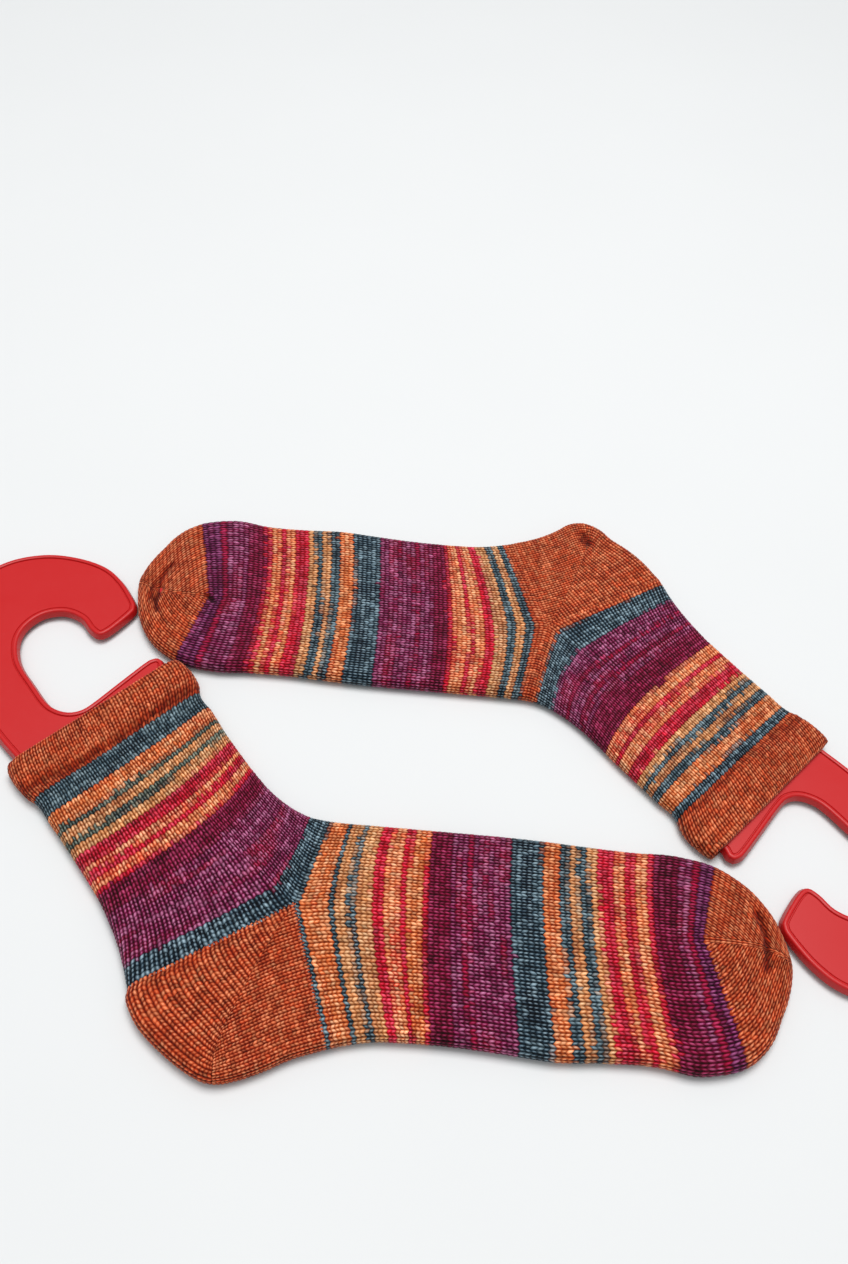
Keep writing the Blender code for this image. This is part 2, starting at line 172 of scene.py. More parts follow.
TOE_COURSES = (
    Course(116.4, -36.9, 108.8, -70.9, 121.4, -117.0),
    Course(123.3, -40.6, 115.5, -70.8, 127.9, -112.1),
    Course(129.6, -45.5, 122.4, -70.9, 132.8, -105.8),
    Course(134.9, -52.1, 129.3, -71.4, 136.3, -98.5),
    Course(139.0, -59.7, 135.5, -73.0, 139.6, -91.3),
    Course(141.2, -67.2, 140.2, -75.2, 141.7, -85.0),
    Course(142.2, -71.5, 142.4, -76.3, 142.5, -81.3),
    Course(142.8, -74.6, 143.2, -76.6, 143.0, -78.8),
)
LEG_FILLS = (0.0, 0.2, 0.6, 0.9, 1.0, 1.0, 0.9, 0.7, 0.55)
FOOT_FILLS = (0.55, 0.55, 0.5, 0.5, 0.5, 0.5, 0.5, 0.5, 0.5, 0.7, 0.9, 0.95)
TOE_FILLS = (0.95, 0.9, 0.75, 0.55, 0.3, 0.1, 0.0, 0.0)

# The cuff's section, from its lower edge up to its rim.
CUFF_STEPS = (
    CuffStep(0.0, 0.0, 0.0, 0.0),
    CuffStep(3.0, 1.9, 1.0, 0.8),
    CuffStep(6.4, 3.2, 1.4, 1.0),
    CuffStep(9.0, 3.7, 1.5, 1.0),
    CuffStep(15.0, 3.8, 1.3, 1.0),
    CuffStep(19.4, 3.0, 0.3, 0.9),
    CuffStep(21.2, 1.7, -1.0, 0.8),
    CuffStep(21.6, 0.8, -2.0, 0.7),
)

# The heel's edge from the calf round to the sole, for the near and the far sock.
HEEL_OUTLINES = {
    Side.NEAR: (
        (-102.6, -115.0),
        (-97.3, -122.9),
        (-90.1, -129.1),
        (-80.9, -135.1),
        (-72.7, -139.1),
        (-66.5, -140.3),
        (-59.3, -138.7),
        (-50.2, -134.7),
        (-40.8, -129.5),
    ),
    Side.FAR: (
        (-100.2, -114.6),
        (-95.3, -121.3),
        (-88.1, -128.6),
        (-80.0, -134.6),
        (-73.9, -140.8),
        (-65.9, -144.1),
        (-58.0, -142.4),
        (-50.9, -136.4),
        (-41.5, -130.3),
    ),
}
# The place in each of these outlines of the point where the heel's mitre ends.
HEEL_TIP = 5

# The middle of the pair lies this far from the sock frame's origin, as the two heels stand out differently.
PAIR_CENTRE = (min(y for _, y in HEEL_OUTLINES[Side.NEAR]) - min(y for _, y in HEEL_OUTLINES[Side.FAR])) / -2

# How many of the heel's wales end on the mitre.
MITRE_WALES = 16.0

# The line where the heel's wales turn from the leg's direction to the foot's, from the gusset outwards.
MITRE = ((-48.0, -73.5), (-53.2, -85.3), (-57.8, -97.2), (-61.8, -109.0), (-65.2, -120.6), (-67.4, -131.0))

# Troughs in the upper faces, each with painted shade: above the cuff's lower edge, near the toe's tip, at
# its seam and at the heel.
CREASES = {
    Side.NEAR: (
        Crease(
            ((-100.0, 24.0), (-111.5, 13.0), (-125.5, -3.0), (-140.5, -20.0), (-161.5, -37.0)),
            width=2.2,
            depth=1.2,
            shade=0.32,
        ),
        Crease(
            ((130.6, -58.0), (132.3, -63.0), (133.2, -68.5), (133.0, -74.0), (132.2, -80.0)),
            width=1.2,
            depth=1.5,
            shade=0.5,
        ),
    ),
    Side.FAR: (
        Crease(
            ((-99.0, 23.0), (-111.0, 12.5), (-125.0, -3.5), (-140.0, -20.5), (-161.0, -37.5)),
            width=1.6,
            depth=0.6,
            shade=0.15,
        ),
        Crease(
            ((130.8, -60.0), (132.3, -64.5), (132.0, -69.5), (131.6, -74.0)),
            width=1.1,
            depth=1.9,
            shade=0.6,
        ),
        Crease(
            ((131.6, -73.0), (132.9, -77.5), (131.4, -83.0), (129.6, -87.5)),
            width=1.2,
            depth=1.2,
            shade=0.4,
        ),
        Crease(((135.0, -66.5), (135.7, -70.5), (134.9, -75.5)), width=1.0, depth=0.9, shade=0.35),
        Crease(((106.4, -68.4), (107.9, -70.0), (109.8, -71.4)), width=1.0, depth=1.4, shade=0.6),
        Crease(((-67.5, -129.5), (-66.0, -131.5), (-65.0, -133.5)), width=2.4, depth=0.9, shade=0.45),
    ),
}

# The hook's edge from the back of the cuff, round the outside to the tip, and back round the inside.
HOOK_OUTLINE = (
    (-169.5, -22.4),
    (-178.5, -14.6),
    (-193.0, -0.8),
    (-207.0, 14.5),
    (-217.5, 32.0),
    (-221.0, 50.0),
    (-216.5, 67.5),
    (-205.0, 80.6),
    (-190.0, 87.0),
    (-175.0, 87.4),
    (-160.8, 83.7),
    (-151.0, 76.4),
    (-142.9, 66.0),
    (-141.1, 61.6),
    (-142.1, 57.6),
    (-149.2, 46.8),
    (-153.3, 44.2),
    (-157.6, 46.6),
    (-163.1, 52.2),
    (-171.5, 55.0),
    (-180.3, 52.2),
    (-185.9, 44.8),
    (-186.9, 35.8),
    (-182.7, 24.8),
    (-173.5, 14.2),
    (-166.0, 6.3),
    (-161.0, 3.2),
    (-155.5, 2.2),
    (-150.5, 3.8),
    (-146.4, 8.0),
    (-138.0, 19.8),
    (-129.8, 31.2),
    (-127.2, 33.8),
    (-124.6, 34.8),
    (-122.5, 33.8),
    (-121.2, 30.9),
)


def linear_rgb(colour: Sequence[int]) -> tuple[float, float, float]:
    """Turn a colour from 0 to 255 in sRGB into linear red, green and blue.

    Args:
        colour: Red, green and blue from 0 to 255.

    Returns:
        The same colour in Blender's linear values.
    """
    shares = [channel / 255 for channel in colour]
    return tuple(share / 12.92 if share <= 0.04045 else ((share + 0.055) / 1.055) ** 2.4 for share in shares)


def lengths(vectors: Grid) -> Grid:
    """Return the length of each vector in the last axis, kept as an axis of one."""
    return np.linalg.norm(vectors, axis=-1, keepdims=True)


def smooth_at(knots: Grid, values: Grid, places: Grid) -> Grid:
    """Read a smooth curve through given values, carried on straight past its ends.

    Args:
        knots: Where the values are given, rising.
        values: One value or point for each knot.
        places: Where to read the curve.

    Returns:
        The curve's value or point at each place.
    """
    slopes = np.gradient(values, knots, axis=0)
    index = np.clip(np.searchsorted(knots, places) - 1, 0, len(knots) - 2)
    width = (knots[index + 1] - knots[index])[:, None]
    share = np.clip((places - knots[index])[:, None] / width, 0.0, 1.0)
    start, end = values[index], values[index + 1]
    rise, fall = slopes[index] * width, slopes[index + 1] * width
    square, cube = share**2, share**3
    curve = start * (2 * cube - 3 * square + 1) + end * (3 * square - 2 * cube)
    curve += rise * (cube - 2 * square + share) + fall * (cube - square)
    before = np.minimum(places - knots[0], 0.0)[:, None] * slopes[0]
    after = np.maximum(places - knots[-1], 0.0)[:, None] * slopes[-1]
    return curve + before + after


def smooth_path(points: Sequence[Sequence[float]], spacing: float) -> Grid:
    """Lay points evenly on a smooth curve.

    Args:
        points: The points that the curve runs through.
        spacing: About how far apart the new points lie.

    Returns:
        The new points.
    """
    corners = np.array(points, float)
    steps = np.linalg.norm(np.diff(corners, axis=0), axis=1)
    counts = np.maximum(1, np.round(steps / spacing)).astype(int)
    places = np.concatenate([index + np.arange(count) / count for index, count in enumerate(counts)])
    knots = np.arange(len(corners), dtype=float)
    return smooth_at(knots, corners, np.append(places, knots[-1]))


def soft_noise(rng: np.random.Generator, rows: Grid, columns: Grid, cell: tuple[float, float]) -> Grid:
    """Return smooth noise from -1 to 1 at every row and column place.

    Args:
        rng: The piece's own random numbers.
        rows: The row places.
        columns: The column places.
        cell: The size of one cell of the noise, along the rows and the columns.

    Returns:
        An array of rows by columns.
    """
    row_places = (rows - rows.min()) / cell[0]
    column_places = (columns - columns.min()) / cell[1]
    seeds = rng.uniform(-1, 1, (int(row_places.max()) + 3, int(column_places.max()) + 3))
    row_index, column_index = row_places.astype(int), column_places.astype(int)
    row_share, column_share = row_places - row_index, column_places - column_index
    row_share = (row_share * row_share * (3 - 2 * row_share))[:, None]
    column_share = (column_share * column_share * (3 - 2 * column_share))[None, :]
    lower = seeds[row_index][:, column_index] * (1 - column_share)
    lower = lower + seeds[row_index][:, column_index + 1] * column_share
    upper = seeds[row_index + 1][:, column_index] * (1 - column_share)
    upper = upper + seeds[row_index + 1][:, column_index + 1] * column_share
    return lower * (1 - row_share) + upper * row_share


class Link:
    """A shader socket that takes part in Python expressions, adding Math nodes as it goes."""

    def __init__(self, shader: "Shader", socket: Any) -> None:
        """Wrap one output socket of a shader's nodes."""
        self.shader = shader
        self.socket = socket

    def maths(self, operation: str, *values: Any) -> "Link":
        """Add one Math node with these inputs and return its result."""
        inputs = dict(enumerate(values))
        return self.shader.node("ShaderNodeMath", {"operation": operation}, inputs)

    def __add__(self, other: Any) -> "Link":
        """Return self + other."""
        return self.maths("ADD", self, other)

    __radd__ = __add__

    def __mul__(self, other: Any) -> "Link":
        """Return self * other."""
        return self.maths("MULTIPLY", self, other)

    __rmul__ = __mul__

    def __sub__(self, other: Any) -> "Link":
        """Return self - other."""
        return self.maths("SUBTRACT", self, other)

    def __rsub__(self, other: Any) -> "Link":
        """Return other - self."""
        return self.maths("SUBTRACT", other, self)

    def clamped(self) -> "Link":
        """Return the value kept between 0 and 1."""
        return self.maths("MINIMUM", self.maths("MAXIMUM", self, 0.0), 1.0)

    def sine(self) -> "Link":
        """Return the sine of the value."""
        return self.maths("SINE", self)


class Shader:
    """The node tree of one material, with its Principled BSDF."""

    def __init__(self, name: str) -> None:
        """Start a material with a Principled BSDF.

        Args:
            name: The material's name.
        """
        self.material = bpy.data.materials.new(name)
        self.material.use_nodes = True
        self.tree = self.material.node_tree
        self.surface = self.tree.nodes["Principled BSDF"]

    def plug(self, socket: Any, value: Any) -> None:
        """Set a socket to a plain value, or link it to another node's output.

        Args:
            socket: The input socket.
            value: A plain value or a link.
        """
        if isinstance(value, Link):
            self.tree.links.new(value.socket, socket)
        else:
            socket.default_value = value

    def node(self, kind: str, settings: dict[str, Any], inputs: dict[Any, Any], output: Any = 0) -> Link:
        """Add a node.

        Args:
            kind: The node's type, such as ShaderNodeMath.
            settings: The node's own settings, set first.
            inputs: A value or link for each input socket, by name or number.
            output: The name or number of the output to return.

        Returns:
            The chosen output.
        """
        made = self.tree.nodes.new(kind)
        for key, value in settings.items():
            setattr(made, key, value)
        for key, value in inputs.items():
            self.plug(made.inputs[key], value)
        return Link(self, made.outputs[output])

    def attribute(self, name: str, output: str) -> Link:
        """Read a named value that the mesh carries."""
        return self.node("ShaderNodeAttribute", {"attribute_name": name}, {}, output)

    def mixed(self, share: Any, first: Any, second: Any, blend: str = "MIX") -> Link:
        """Mix two colours by a share."""
        settings = {"data_type": "RGBA", "blend_type": blend}
        return self.node("ShaderNodeMix", settings, {0: share, 6: first, 7: second}, 2)

    def noise(self, scale: float, detail: float, roughness: float = 0.55) -> Link:
        """Add smooth noise.

        Args:
            scale: About how many blobs there are to a metre.
            detail: How many finer layers lie over the first.
            roughness: How strong each finer layer is beside the one before it.

        Returns:
            The noise, from 0 to 1.
        """
        inputs: dict[Any, Any] = {"Scale": scale, "Detail": detail, "Roughness": roughness}
        inputs["Vector"] = self.node("ShaderNodeTexCoord", {}, {}, "Object")
        return self.node("ShaderNodeTexNoise", {}, inputs)

    def grey(self, value: Link) -> Link:
        """Turn a number into a grey colour."""
        return self.node("ShaderNodeCombineColor", {}, {0: value, 1: value, 2: value})

    def bump(self, height: Any, distance: float, strength: float) -> Link:
        """Add a bump from a height."""
        inputs = {"Height": height, "Distance": distance, "Strength": strength}
        return self.node("ShaderNodeBump", {}, inputs)

    def finish(self, links: dict[str, Any]) -> bpy.types.Material:
        """Set or link the Principled BSDF's sockets.

        Args:
            links: A value or link for each socket, by name.

        Returns:
            The finished material.
        """
        for name, value in links.items():
            self.plug(self.surface.inputs[name], value)
        return self.material


@dataclass(frozen=True)
class KnitFinish:
    """The look of wool yarn: two plies of differing colour, fuzzy, with painted shade between the stitches
    and painted highlights on their crests.
    """

    roughness: float = 0.88
    specular: float = 0.12
    sheen: float = 0.12
    sheen_roughness: float = 0.45
    # Painted shade and highlight: the grey light in the hollows and on the crests, the power of the curve
    # between them, the power that picks out the crests for the paler highlight, and how far the hollows'
    # colour is deepened.
    painted_hollow_shade: float = 0.28
    painted_crest_highlight: float = 1.15
    crest_power: float = 1.5
    painted_highlight_power: float = 5.0
    painted_shade_gamma: float = 1.0
    twist_per_mm: float = 5.2
    ply_turn: float = 2.6
    twist_share: float = 0.35
    fibre_share: float = 0.6
    share_start: float = 0.55
    # The share of pale fleck colour painted on the crests as highlight.
    painted_highlight_share: float = 0.7
    cloud_share: float = 0.4
    fibre_scale: float = 2600.0
    cloud_scale: float = 160.0
    fibre_bump: float = 0.00012
    bump_fibres: float = 0.6
    bump_twist: float = 0.4
    bump_strength: float = 0.8
    fibre_dark: float = 0.8
    fibre_light: float = 0.4

    def material(self, name: str) -> bpy.types.Material:
        """Build the yarn's material from the colours and the strand places that the mesh carries.

        Args:
            name: The material's name.

        Returns:
            The finished material.
        """
        shader = Shader(name)
        ply = shader.attribute("ply_colour", "Color")
        fleck = shader.attribute("fleck_colour", "Color")
        strand = shader.node("ShaderNodeSeparateXYZ", {}, {0: shader.attribute("strand", "Vector")}, 0)
        splitter = strand.socket.node
        along, across, hollow = (Link(shader, splitter.outputs[index]) for index in range(3))
        twist = ((along * self.twist_per_mm + across * self.ply_turn).sine() * 0.5 + 0.5).clamped()
        cloud = shader.noise(self.cloud_scale, 2.0)
        fibres = shader.noise(self.fibre_scale, 3.0)
        # Painted shade: the hollows between the stitches and the creases are darkened by the hollow value
        # that the mesh carries.
        crest = (1.0 - hollow).clamped()
        # Painted highlight: the crests of the legs are mixed towards the pale fleck colour.
        tip = crest.maths("POWER", crest, self.painted_highlight_power)
        share = twist * self.twist_share + fibres * self.fibre_share - self.share_start
        share = share + tip * self.painted_highlight_share + (cloud - 0.5) * self.cloud_share
        colour = shader.mixed(share.clamped(), ply, fleck)
        # Painted shade: the colour is deepened and made redder in the hollows and creases.
        colour = shader.node("ShaderNodeGamma", {}, {0: colour, 1: 1.0 + hollow * self.painted_shade_gamma})
        # Painted shade and highlight: a grey from dark in the hollows to brighter than the yarn on the
        # crests, times the fibres' random tone.
        raised = crest.maths("POWER", crest, self.crest_power)
        light = self.painted_hollow_shade + raised * (self.painted_crest_highlight - self.painted_hollow_shade)
        light = light * (self.fibre_dark + fibres * self.fibre_light)
        colour = shader.mixed(1.0, colour, shader.grey(light), "MULTIPLY")
        height = fibres * self.bump_fibres + twist * self.bump_twist
        bump = shader.bump(height, self.fibre_bump, self.bump_strength)
        return shader.finish(
            {
                "Base Color": colour,
                "Roughness": self.roughness,
                "Sheen Weight": self.sheen,
                "Sheen Roughness": self.sheen_roughness,
                "Specular IOR Level": self.specular,
                "Normal": bump,
            }
        )


@dataclass(frozen=True)
class PlasticFinish:
    """The look of the blockers' moulded plastic: satin, with the faintest flow marks and scuffs."""

    colour: tuple[int, int, int] = (182, 16, 18)
    worn: tuple[int, int, int] = (188, 28, 30)
    roughness: float = 0.38
    specular: float = 0.32
    flow_scale: float = 38.0
    worn_share: float = 0.7
    flow_roughness: float = 0.10
    flow_middle: float = 0.05
    scuff_scale: float = 420.0
    scuff_level: float = 0.52
    scuff_gain: float = 3.0
    scuff_roughness: float = 0.08
    grain_scale: float = 1500.0
    grain_depth: float = 0.00004
    grain_strength: float = 0.25

    def material(self, name: str) -> bpy.types.Material:
        """Build the plastic's material.

        Args:
            name: The material's name.

        Returns:
            The finished material.
        """
        shader = Shader(name)
        flow = shader.noise(self.flow_scale, 3.0)
        grain = shader.noise(self.grain_scale, 2.0)
        scuffs = (shader.noise(self.scuff_scale, 4.0) - self.scuff_level) * self.scuff_gain
        new, worn = (*linear_rgb(self.colour), 1), (*linear_rgb(self.worn), 1)
        colour = shader.mixed(flow * self.worn_share, new, worn)
        rough = flow * self.flow_roughness + scuffs.clamped() * self.scuff_roughness
        rough = rough + (self.roughness - self.flow_middle)
        bump = shader.bump(grain, self.grain_depth, self.grain_strength)
        return shader.finish(
            {"Base Color": colour, "Roughness": rough, "Specular IOR Level": self.specular, "Normal": bump}
        )


@dataclass(frozen=True)
class TableFinish:
    """The look of the pale matt table that the socks lie on."""

    colour: tuple[int, int, int] = (216, 217, 217)
    roughness: float = 0.7
    cloud_scale: float = 6.0
    dimming: float = 0.97

    def material(self, name: str) -> bpy.types.Material:
        """Build the table's material, with a very faint unevenness.

        Args:
            name: The material's name.

        Returns:
            The finished material.
        """
        shader = Shader(name)
        cloud = shader.noise(self.cloud_scale, 2.0)
        tone = (*linear_rgb(self.colour), 1)
        dim = tuple(channel * self.dimming for channel in tone[:3]) + (1,)
        colour = shader.mixed(cloud, tone, dim)
        return shader.finish({"Base Color": colour, "Roughness": self.roughness})


@dataclass
class Stitch:
    """The shape of one knit stitch, in wales and courses, and how finely it is modelled."""

    wale: float = 2.6
    course: float = 2.1
    slant: float = 1.2
    depth: float = 0.58
    proud: float = 0.12
    middle: float = 0.5
    edge: float = 0.2
    between: float = 0.66
    along_power: float = 0.7
    across_power: float = 0.6
    unevenness: float = 0.10
    height_cell: tuple[float, float] = (1.0, 1.0)
    shift_cell: tuple[float, float] = (4.0, 3.0)
    yarn_width: float = 1.3
    rows: int = 4
    fine_columns: int = 6
    coarse_columns: int = 3

    def relief(self, wales: Grid, courses: Grid) -> Grid:
        """Return the height of the yarn, from 0 in the hollows to 1 on the legs' backs.

        Args:
            wales: Place across the wales; a stitch's middle is at a half.
            courses: Place along the slanted legs; a leg's back is at a half.

        Returns:
            The height at each place.
        """
        beside = np.abs(wales % 1.0 - 0.5)
        round_leg = np.abs(np.sin(np.pi * courses))
        across = self.between + (1 - self.between) * round_leg**self.along_power
        leg = np.abs(np.sin(2 * np.pi * beside)) ** self.across_power
        floor = (self.middle + (self.edge - self.middle) * 2 * beside) * round_leg**2
        return floor + (1 - floor) * leg * across

    def slanted(self, wales: Grid, courses: Grid) -> Grid:
        """Return the course that a place on a slanted leg lies at."""
        beside = np.abs(wales % 1.0 - 0.5)
        return courses + self.slant * (beside - 0.25)

    def columns(self, upper: int, lower: int, first: int = 0) -> Grid:
        """Return the wale places of a ring's columns.

        Args:
            upper: How many wales the upper face has, with fine columns.
            lower: How many wales the lower face has, with coarse columns.
            first: The first wale.

        Returns:
            The place of each column.
        """
        fine = np.arange(upper * self.fine_columns) / self.fine_columns
        coarse = upper + np.arange(lower * self.coarse_columns) / self.coarse_columns
        return np.concatenate([fine, coarse]) + first


@dataclass
class KnitMesh:
    """Vertex places with the values that a knitted piece's mesh carries."""

    points: Grid
    strand: Grid
    faces: Grid
    ply: Grid
    fleck: Grid

    def object(self, name: str, material: bpy.types.Material) -> bpy.types.Object:
        """Make the Blender object, with doubled points joined and empty faces left out.

        Args:
            name: The object's name.
            material: The yarn's material.

        Returns:
            The new object.
        """
        cells = np.round(self.points / WELD).astype(np.int64)
        _, first, joined = np.unique(cells, axis=0, return_index=True, return_inverse=True)
        corners = joined.reshape(-1)[self.faces]
        kept = (corners != np.roll(corners, 1, axis=1)).sum(1) >= 3
        kept &= (corners[:, 0] != corners[:, 2]) & (corners[:, 1] != corners[:, 3])
        corners = corners[kept]
        used = corners != np.roll(corners, 1, axis=1)
        counts = used.sum(1)
        mesh = bpy.data.meshes.new(name)
        mesh.vertices.add(len(first))
        mesh.vertices.foreach_set("co", self.points[first].astype(np.float32).ravel())
        mesh.loops.add(int(counts.sum()))
        mesh.loops.foreach_set("vertex_index", corners[used].astype(np.int32))
        mesh.polygons.add(len(corners))
        starts = np.concatenate([[0], np.cumsum(counts)[:-1]]).astype(np.int32)
        mesh.polygons.foreach_set("loop_start", starts)
        mesh.update(calc_edges=True)
        self.carry(mesh, "strand", "FLOAT_VECTOR", "POINT", self.strand[first])
        for key, colour in (("ply_colour", self.ply), ("fleck_colour", self.fleck)):
            solid = np.concatenate([colour[kept], np.ones((len(corners), 1))], axis=1)
            self.carry(mesh, key, "FLOAT_COLOR", "FACE", solid)
        mesh.validate()
        mesh.shade_smooth()
        mesh.materials.append(material)
        made = bpy.data.objects.new(name, mesh)
        bpy.context.collection.objects.link(made)
        return made

    @staticmethod
    def carry(mesh: bpy.types.Mesh, key: str, kind: str, domain: str, values: Grid) -> None:
        """Store one named value on the mesh.

        Args:
            mesh: The mesh.
            key: The value's name.
            kind: Blender's type for it, a vector or a colour.
            domain: POINT or FACE.
            values: One row of numbers for each point or face.
        """
        attribute = mesh.attributes.new(key, kind, domain)
        slot = "color" if kind == "FLOAT_COLOR" else "vector"
        attribute.data.foreach_set(slot, values.astype(np.float32).ravel())


@dataclass
class Chart:
    """Where each colour of the yarn comes, in millimetres along the middle wale of a piece."""

    bands: tuple[Band, ...]
    wander: float = 0.45
    wander_run: tuple[float, float] = (6.0, 22.0)
    speckle: float = 0.12
    fade: float = 1.6
    pale_run: float = 9.0
    pale_run_share: float = 0.9
    pale_dash: float = 2.5
    pale_dash_share: float = 0.5
    pale_spread: float = 0.8
    pale_gain: float = 1.4
    pale_start: float = 0.3
    fleck_share: float = 0.8
    fleck_floor: float = 0.25
    dark_run: tuple[float, float] = (1.6, 13.0)
    dark_gain: float = 1.6
    dark_start: float = 0.1
    light_spread: float = 0.18
    light_range: tuple[float, float] = (0.6, 1.5)

    def colours(self, places: Grid, legs: Grid, rng: np.random.Generator) -> tuple[Grid, Grid]:
        """Look up the two plies' colours of each stitch leg.

        Args:
            places: Where each leg lies along the piece, in millimetres, as courses by legs.
            legs: The number of each leg round the tube.
            rng: The piece's own random numbers.

        Returns:
            The colour of the ply and of the fleck, for each leg.
        """
        ends = np.array([band.end for band in self.bands])
        courses = np.arange(len(places), dtype=float)
        index = np.clip(np.searchsorted(ends, places), 0, len(ends) - 1)
        after = np.minimum(index + 1, len(ends) - 1)
        turned = np.clip(0.5 - (ends[index] - places) / self.fade, 0, 0.5)[..., None]
        tones = []
        for name in ("ply", "fleck", "run"):
            table = np.array([linear_rgb(getattr(band.dye.value, name)) for band in self.bands])
            tones.append(table[index] * (1 - turned) + table[after] * turned)
        ply, fleck, run = tones
        shares = np.array([band.dye.value.flecks for band in self.bands])[index]
        pale = soft_noise(rng, courses, legs, (1.0, self.pale_run)) * self.pale_run_share
        pale = pale + soft_noise(rng, courses, legs, (1.0, self.pale_dash)) * self.pale_dash_share
        pale = pale + rng.normal(0.0, self.pale_spread, places.shape)
        pale = np.clip(pale * self.pale_gain - self.pale_start, 0, 1) * shares
        dark = soft_noise(rng, courses, legs, self.dark_run) * self.dark_gain
        dark = np.clip(dark - self.dark_start, 0, 1)
        light = np.clip(1.0 + rng.normal(0.0, self.light_spread, places.shape), *self.light_range)[..., None]
        main = ply + (run - ply) * dark[..., None]
        main = (main + (fleck - main) * pale[..., None] * self.fleck_share) * light
        reach = self.fleck_floor + shares[..., None] * (1 - self.fleck_floor)
        return main, main + (fleck - main) * reach


def chart(*bands: tuple[float, Dye]) -> Chart:
    """Write a chart as pairs of a band's end and its dye."""
    return Chart(tuple(Band(*band) for band in bands))


PLAIN = chart((1.0, Dye.TERRACOTTA))

LEG_CHARTS = {
    Side.NEAR: chart(
        (10.4, Dye.TEAL),
        (18.0, Dye.ORANGE),
        (21.0, Dye.SEA),
        (25.5, Dye.TAN),
        (29.0, Dye.SEA),
        (33.5, Dye.TAN),
        (39.5, Dye.CRIMSON),
        (43.0, Dye.PEACH),
        (46.5, Dye.CRIMSON),
        (51.0, Dye.PEACH),
        (52.5, Dye.CRIMSON),
        (62.0, Dye.PLUM),
        (93.0, Dye.PURPLE),
        (104.0, Dye.NAVY),
    ),
    Side.FAR: chart(
        (5.0, Dye.NAVY),
        (12.0, Dye.ORANGE),
        (16.0, Dye.TEAL),
        (20.0, Dye.TAN),
        (24.0, Dye.TEAL),
        (28.0, Dye.TAN),
        (34.5, Dye.CRIMSON),
        (40.0, Dye.PEACH),
        (42.5, Dye.CRIMSON),
        (48.0, Dye.PEACH),
        (60.0, Dye.PLUM),
        (64.0, Dye.PURPLE),
        (66.0, Dye.BERRY),
        (73.0, Dye.PURPLE),
        (75.0, Dye.BERRY),
        (85.0, Dye.PURPLE),
        (98.0, Dye.NAVY),
        (104.0, Dye.TERRACOTTA),
    ),
}
FOOT_CHARTS = {
    Side.NEAR: chart(
        (3.0, Dye.TEAL),
        (12.6, Dye.ORANGE),
        (15.0, Dye.TEAL),
        (20.0, Dye.TAN),
        (22.5, Dye.TEAL),
        (29.0, Dye.TAN),
        (34.8, Dye.CRIMSON),
        (40.8, Dye.PEACH),
        (43.8, Dye.CRIMSON),
        (49.8, Dye.ORANGE),
        (51.0, Dye.CRIMSON),
        (59.4, Dye.PLUM),
        (65.4, Dye.PURPLE),
        (67.2, Dye.BERRY),
        (83.0, Dye.PURPLE),
        (95.5, Dye.NAVY),
        (102.6, Dye.ORANGE),
        (106.2, Dye.TEAL),
        (109.8, Dye.TAN),
        (114.0, Dye.TEAL),
        (117.8, Dye.TAN),
        (124.0, Dye.CRIMSON),
        (127.8, Dye.PEACH),
        (131.4, Dye.CRIMSON),
        (136.2, Dye.PEACH),
        (138.0, Dye.CRIMSON),
        (147.6, Dye.PLUM),
        (151.0, Dye.PURPLE),
        (153.6, Dye.BERRY),
        (158.0, Dye.VIOLET),
    ),
    Side.FAR: chart(
        (6.0, Dye.TERRACOTTA),
        (11.0, Dye.TEAL),
        (15.0, Dye.TAN),
        (19.2, Dye.TEAL),
        (25.0, Dye.TAN),
        (30.6, Dye.CRIMSON),
        (35.4, Dye.PEACH),
        (37.8, Dye.CRIMSON),
        (44.4, Dye.PEACH),
        (47.0, Dye.CRIMSON),
        (54.0, Dye.PLUM),
        (60.6, Dye.PURPLE),
        (62.4, Dye.BERRY),
        (69.6, Dye.PURPLE),
        (70.8, Dye.BERRY),
        (79.0, Dye.PURPLE),
        (91.0, Dye.NAVY),
        (98.0, Dye.ORANGE),
        (102.0, Dye.TEAL),
        (105.6, Dye.TAN),
        (109.2, Dye.TEAL),
        (112.8, Dye.TAN),
        (118.8, Dye.CRIMSON),
        (122.4, Dye.PEACH),
        (126.0, Dye.CRIMSON),
        (130.2, Dye.PEACH),
        (132.6, Dye.CRIMSON),
        (139.8, Dye.PLUM),
        (148.8, Dye.PURPLE),
        (150.6, Dye.BERRY),
        (158.0, Dye.VIOLET),
    ),
}


@dataclass
class Patch:
    """A stretch of the sock's surface as a grid: rows are courses, columns run round the tube."""

    courses: Grid
    places: Grid
    points: Grid
    ring: bool

    def normals(self) -> Grid:
        """Work out the directions out of the surface.

        Returns:
            A unit vector at every point of the grid.
        """
        down = np.gradient(self.points, axis=0)
        if self.ring:
            around = np.roll(self.points, -1, axis=1) - np.roll(self.points, 1, axis=1)
        else:
            around = np.gradient(self.points, axis=1)
        out = np.cross(around, down)
        return out / np.maximum(lengths(out), TINY)

    def read(self, values: Grid, courses: Grid, places: Grid) -> Grid:
        """Read a grid of values between its points.

        Args:
            values: The grid of values, with one row and column for each point.
            courses: The course of each wanted point.
            places: The place round the tube of each wanted point.

        Returns:
            The values at the wanted points.
        """
        row = np.interp(courses, self.courses, np.arange(len(self.courses), dtype=float))
        count = len(self.places)
        if self.ring:
            table = np.append(self.places, ROUND)
            column = np.interp(places % ROUND, table, np.arange(count + 1, dtype=float))
        else:
            column = np.interp(places, self.places, np.arange(count, dtype=float))
        top = np.minimum(row.astype(int), len(self.courses) - 2)
        left = np.minimum(column.astype(int), count - 1 if self.ring else count - 2)
        right = (left + 1) % count
        down, over = (row - top)[..., None], (column - left)[..., None]
        above = values[top, left] * (1 - over) + values[top, right] * over
        below = values[top + 1, left] * (1 - over) + values[top + 1, right] * over
        return above * (1 - down) + below * down


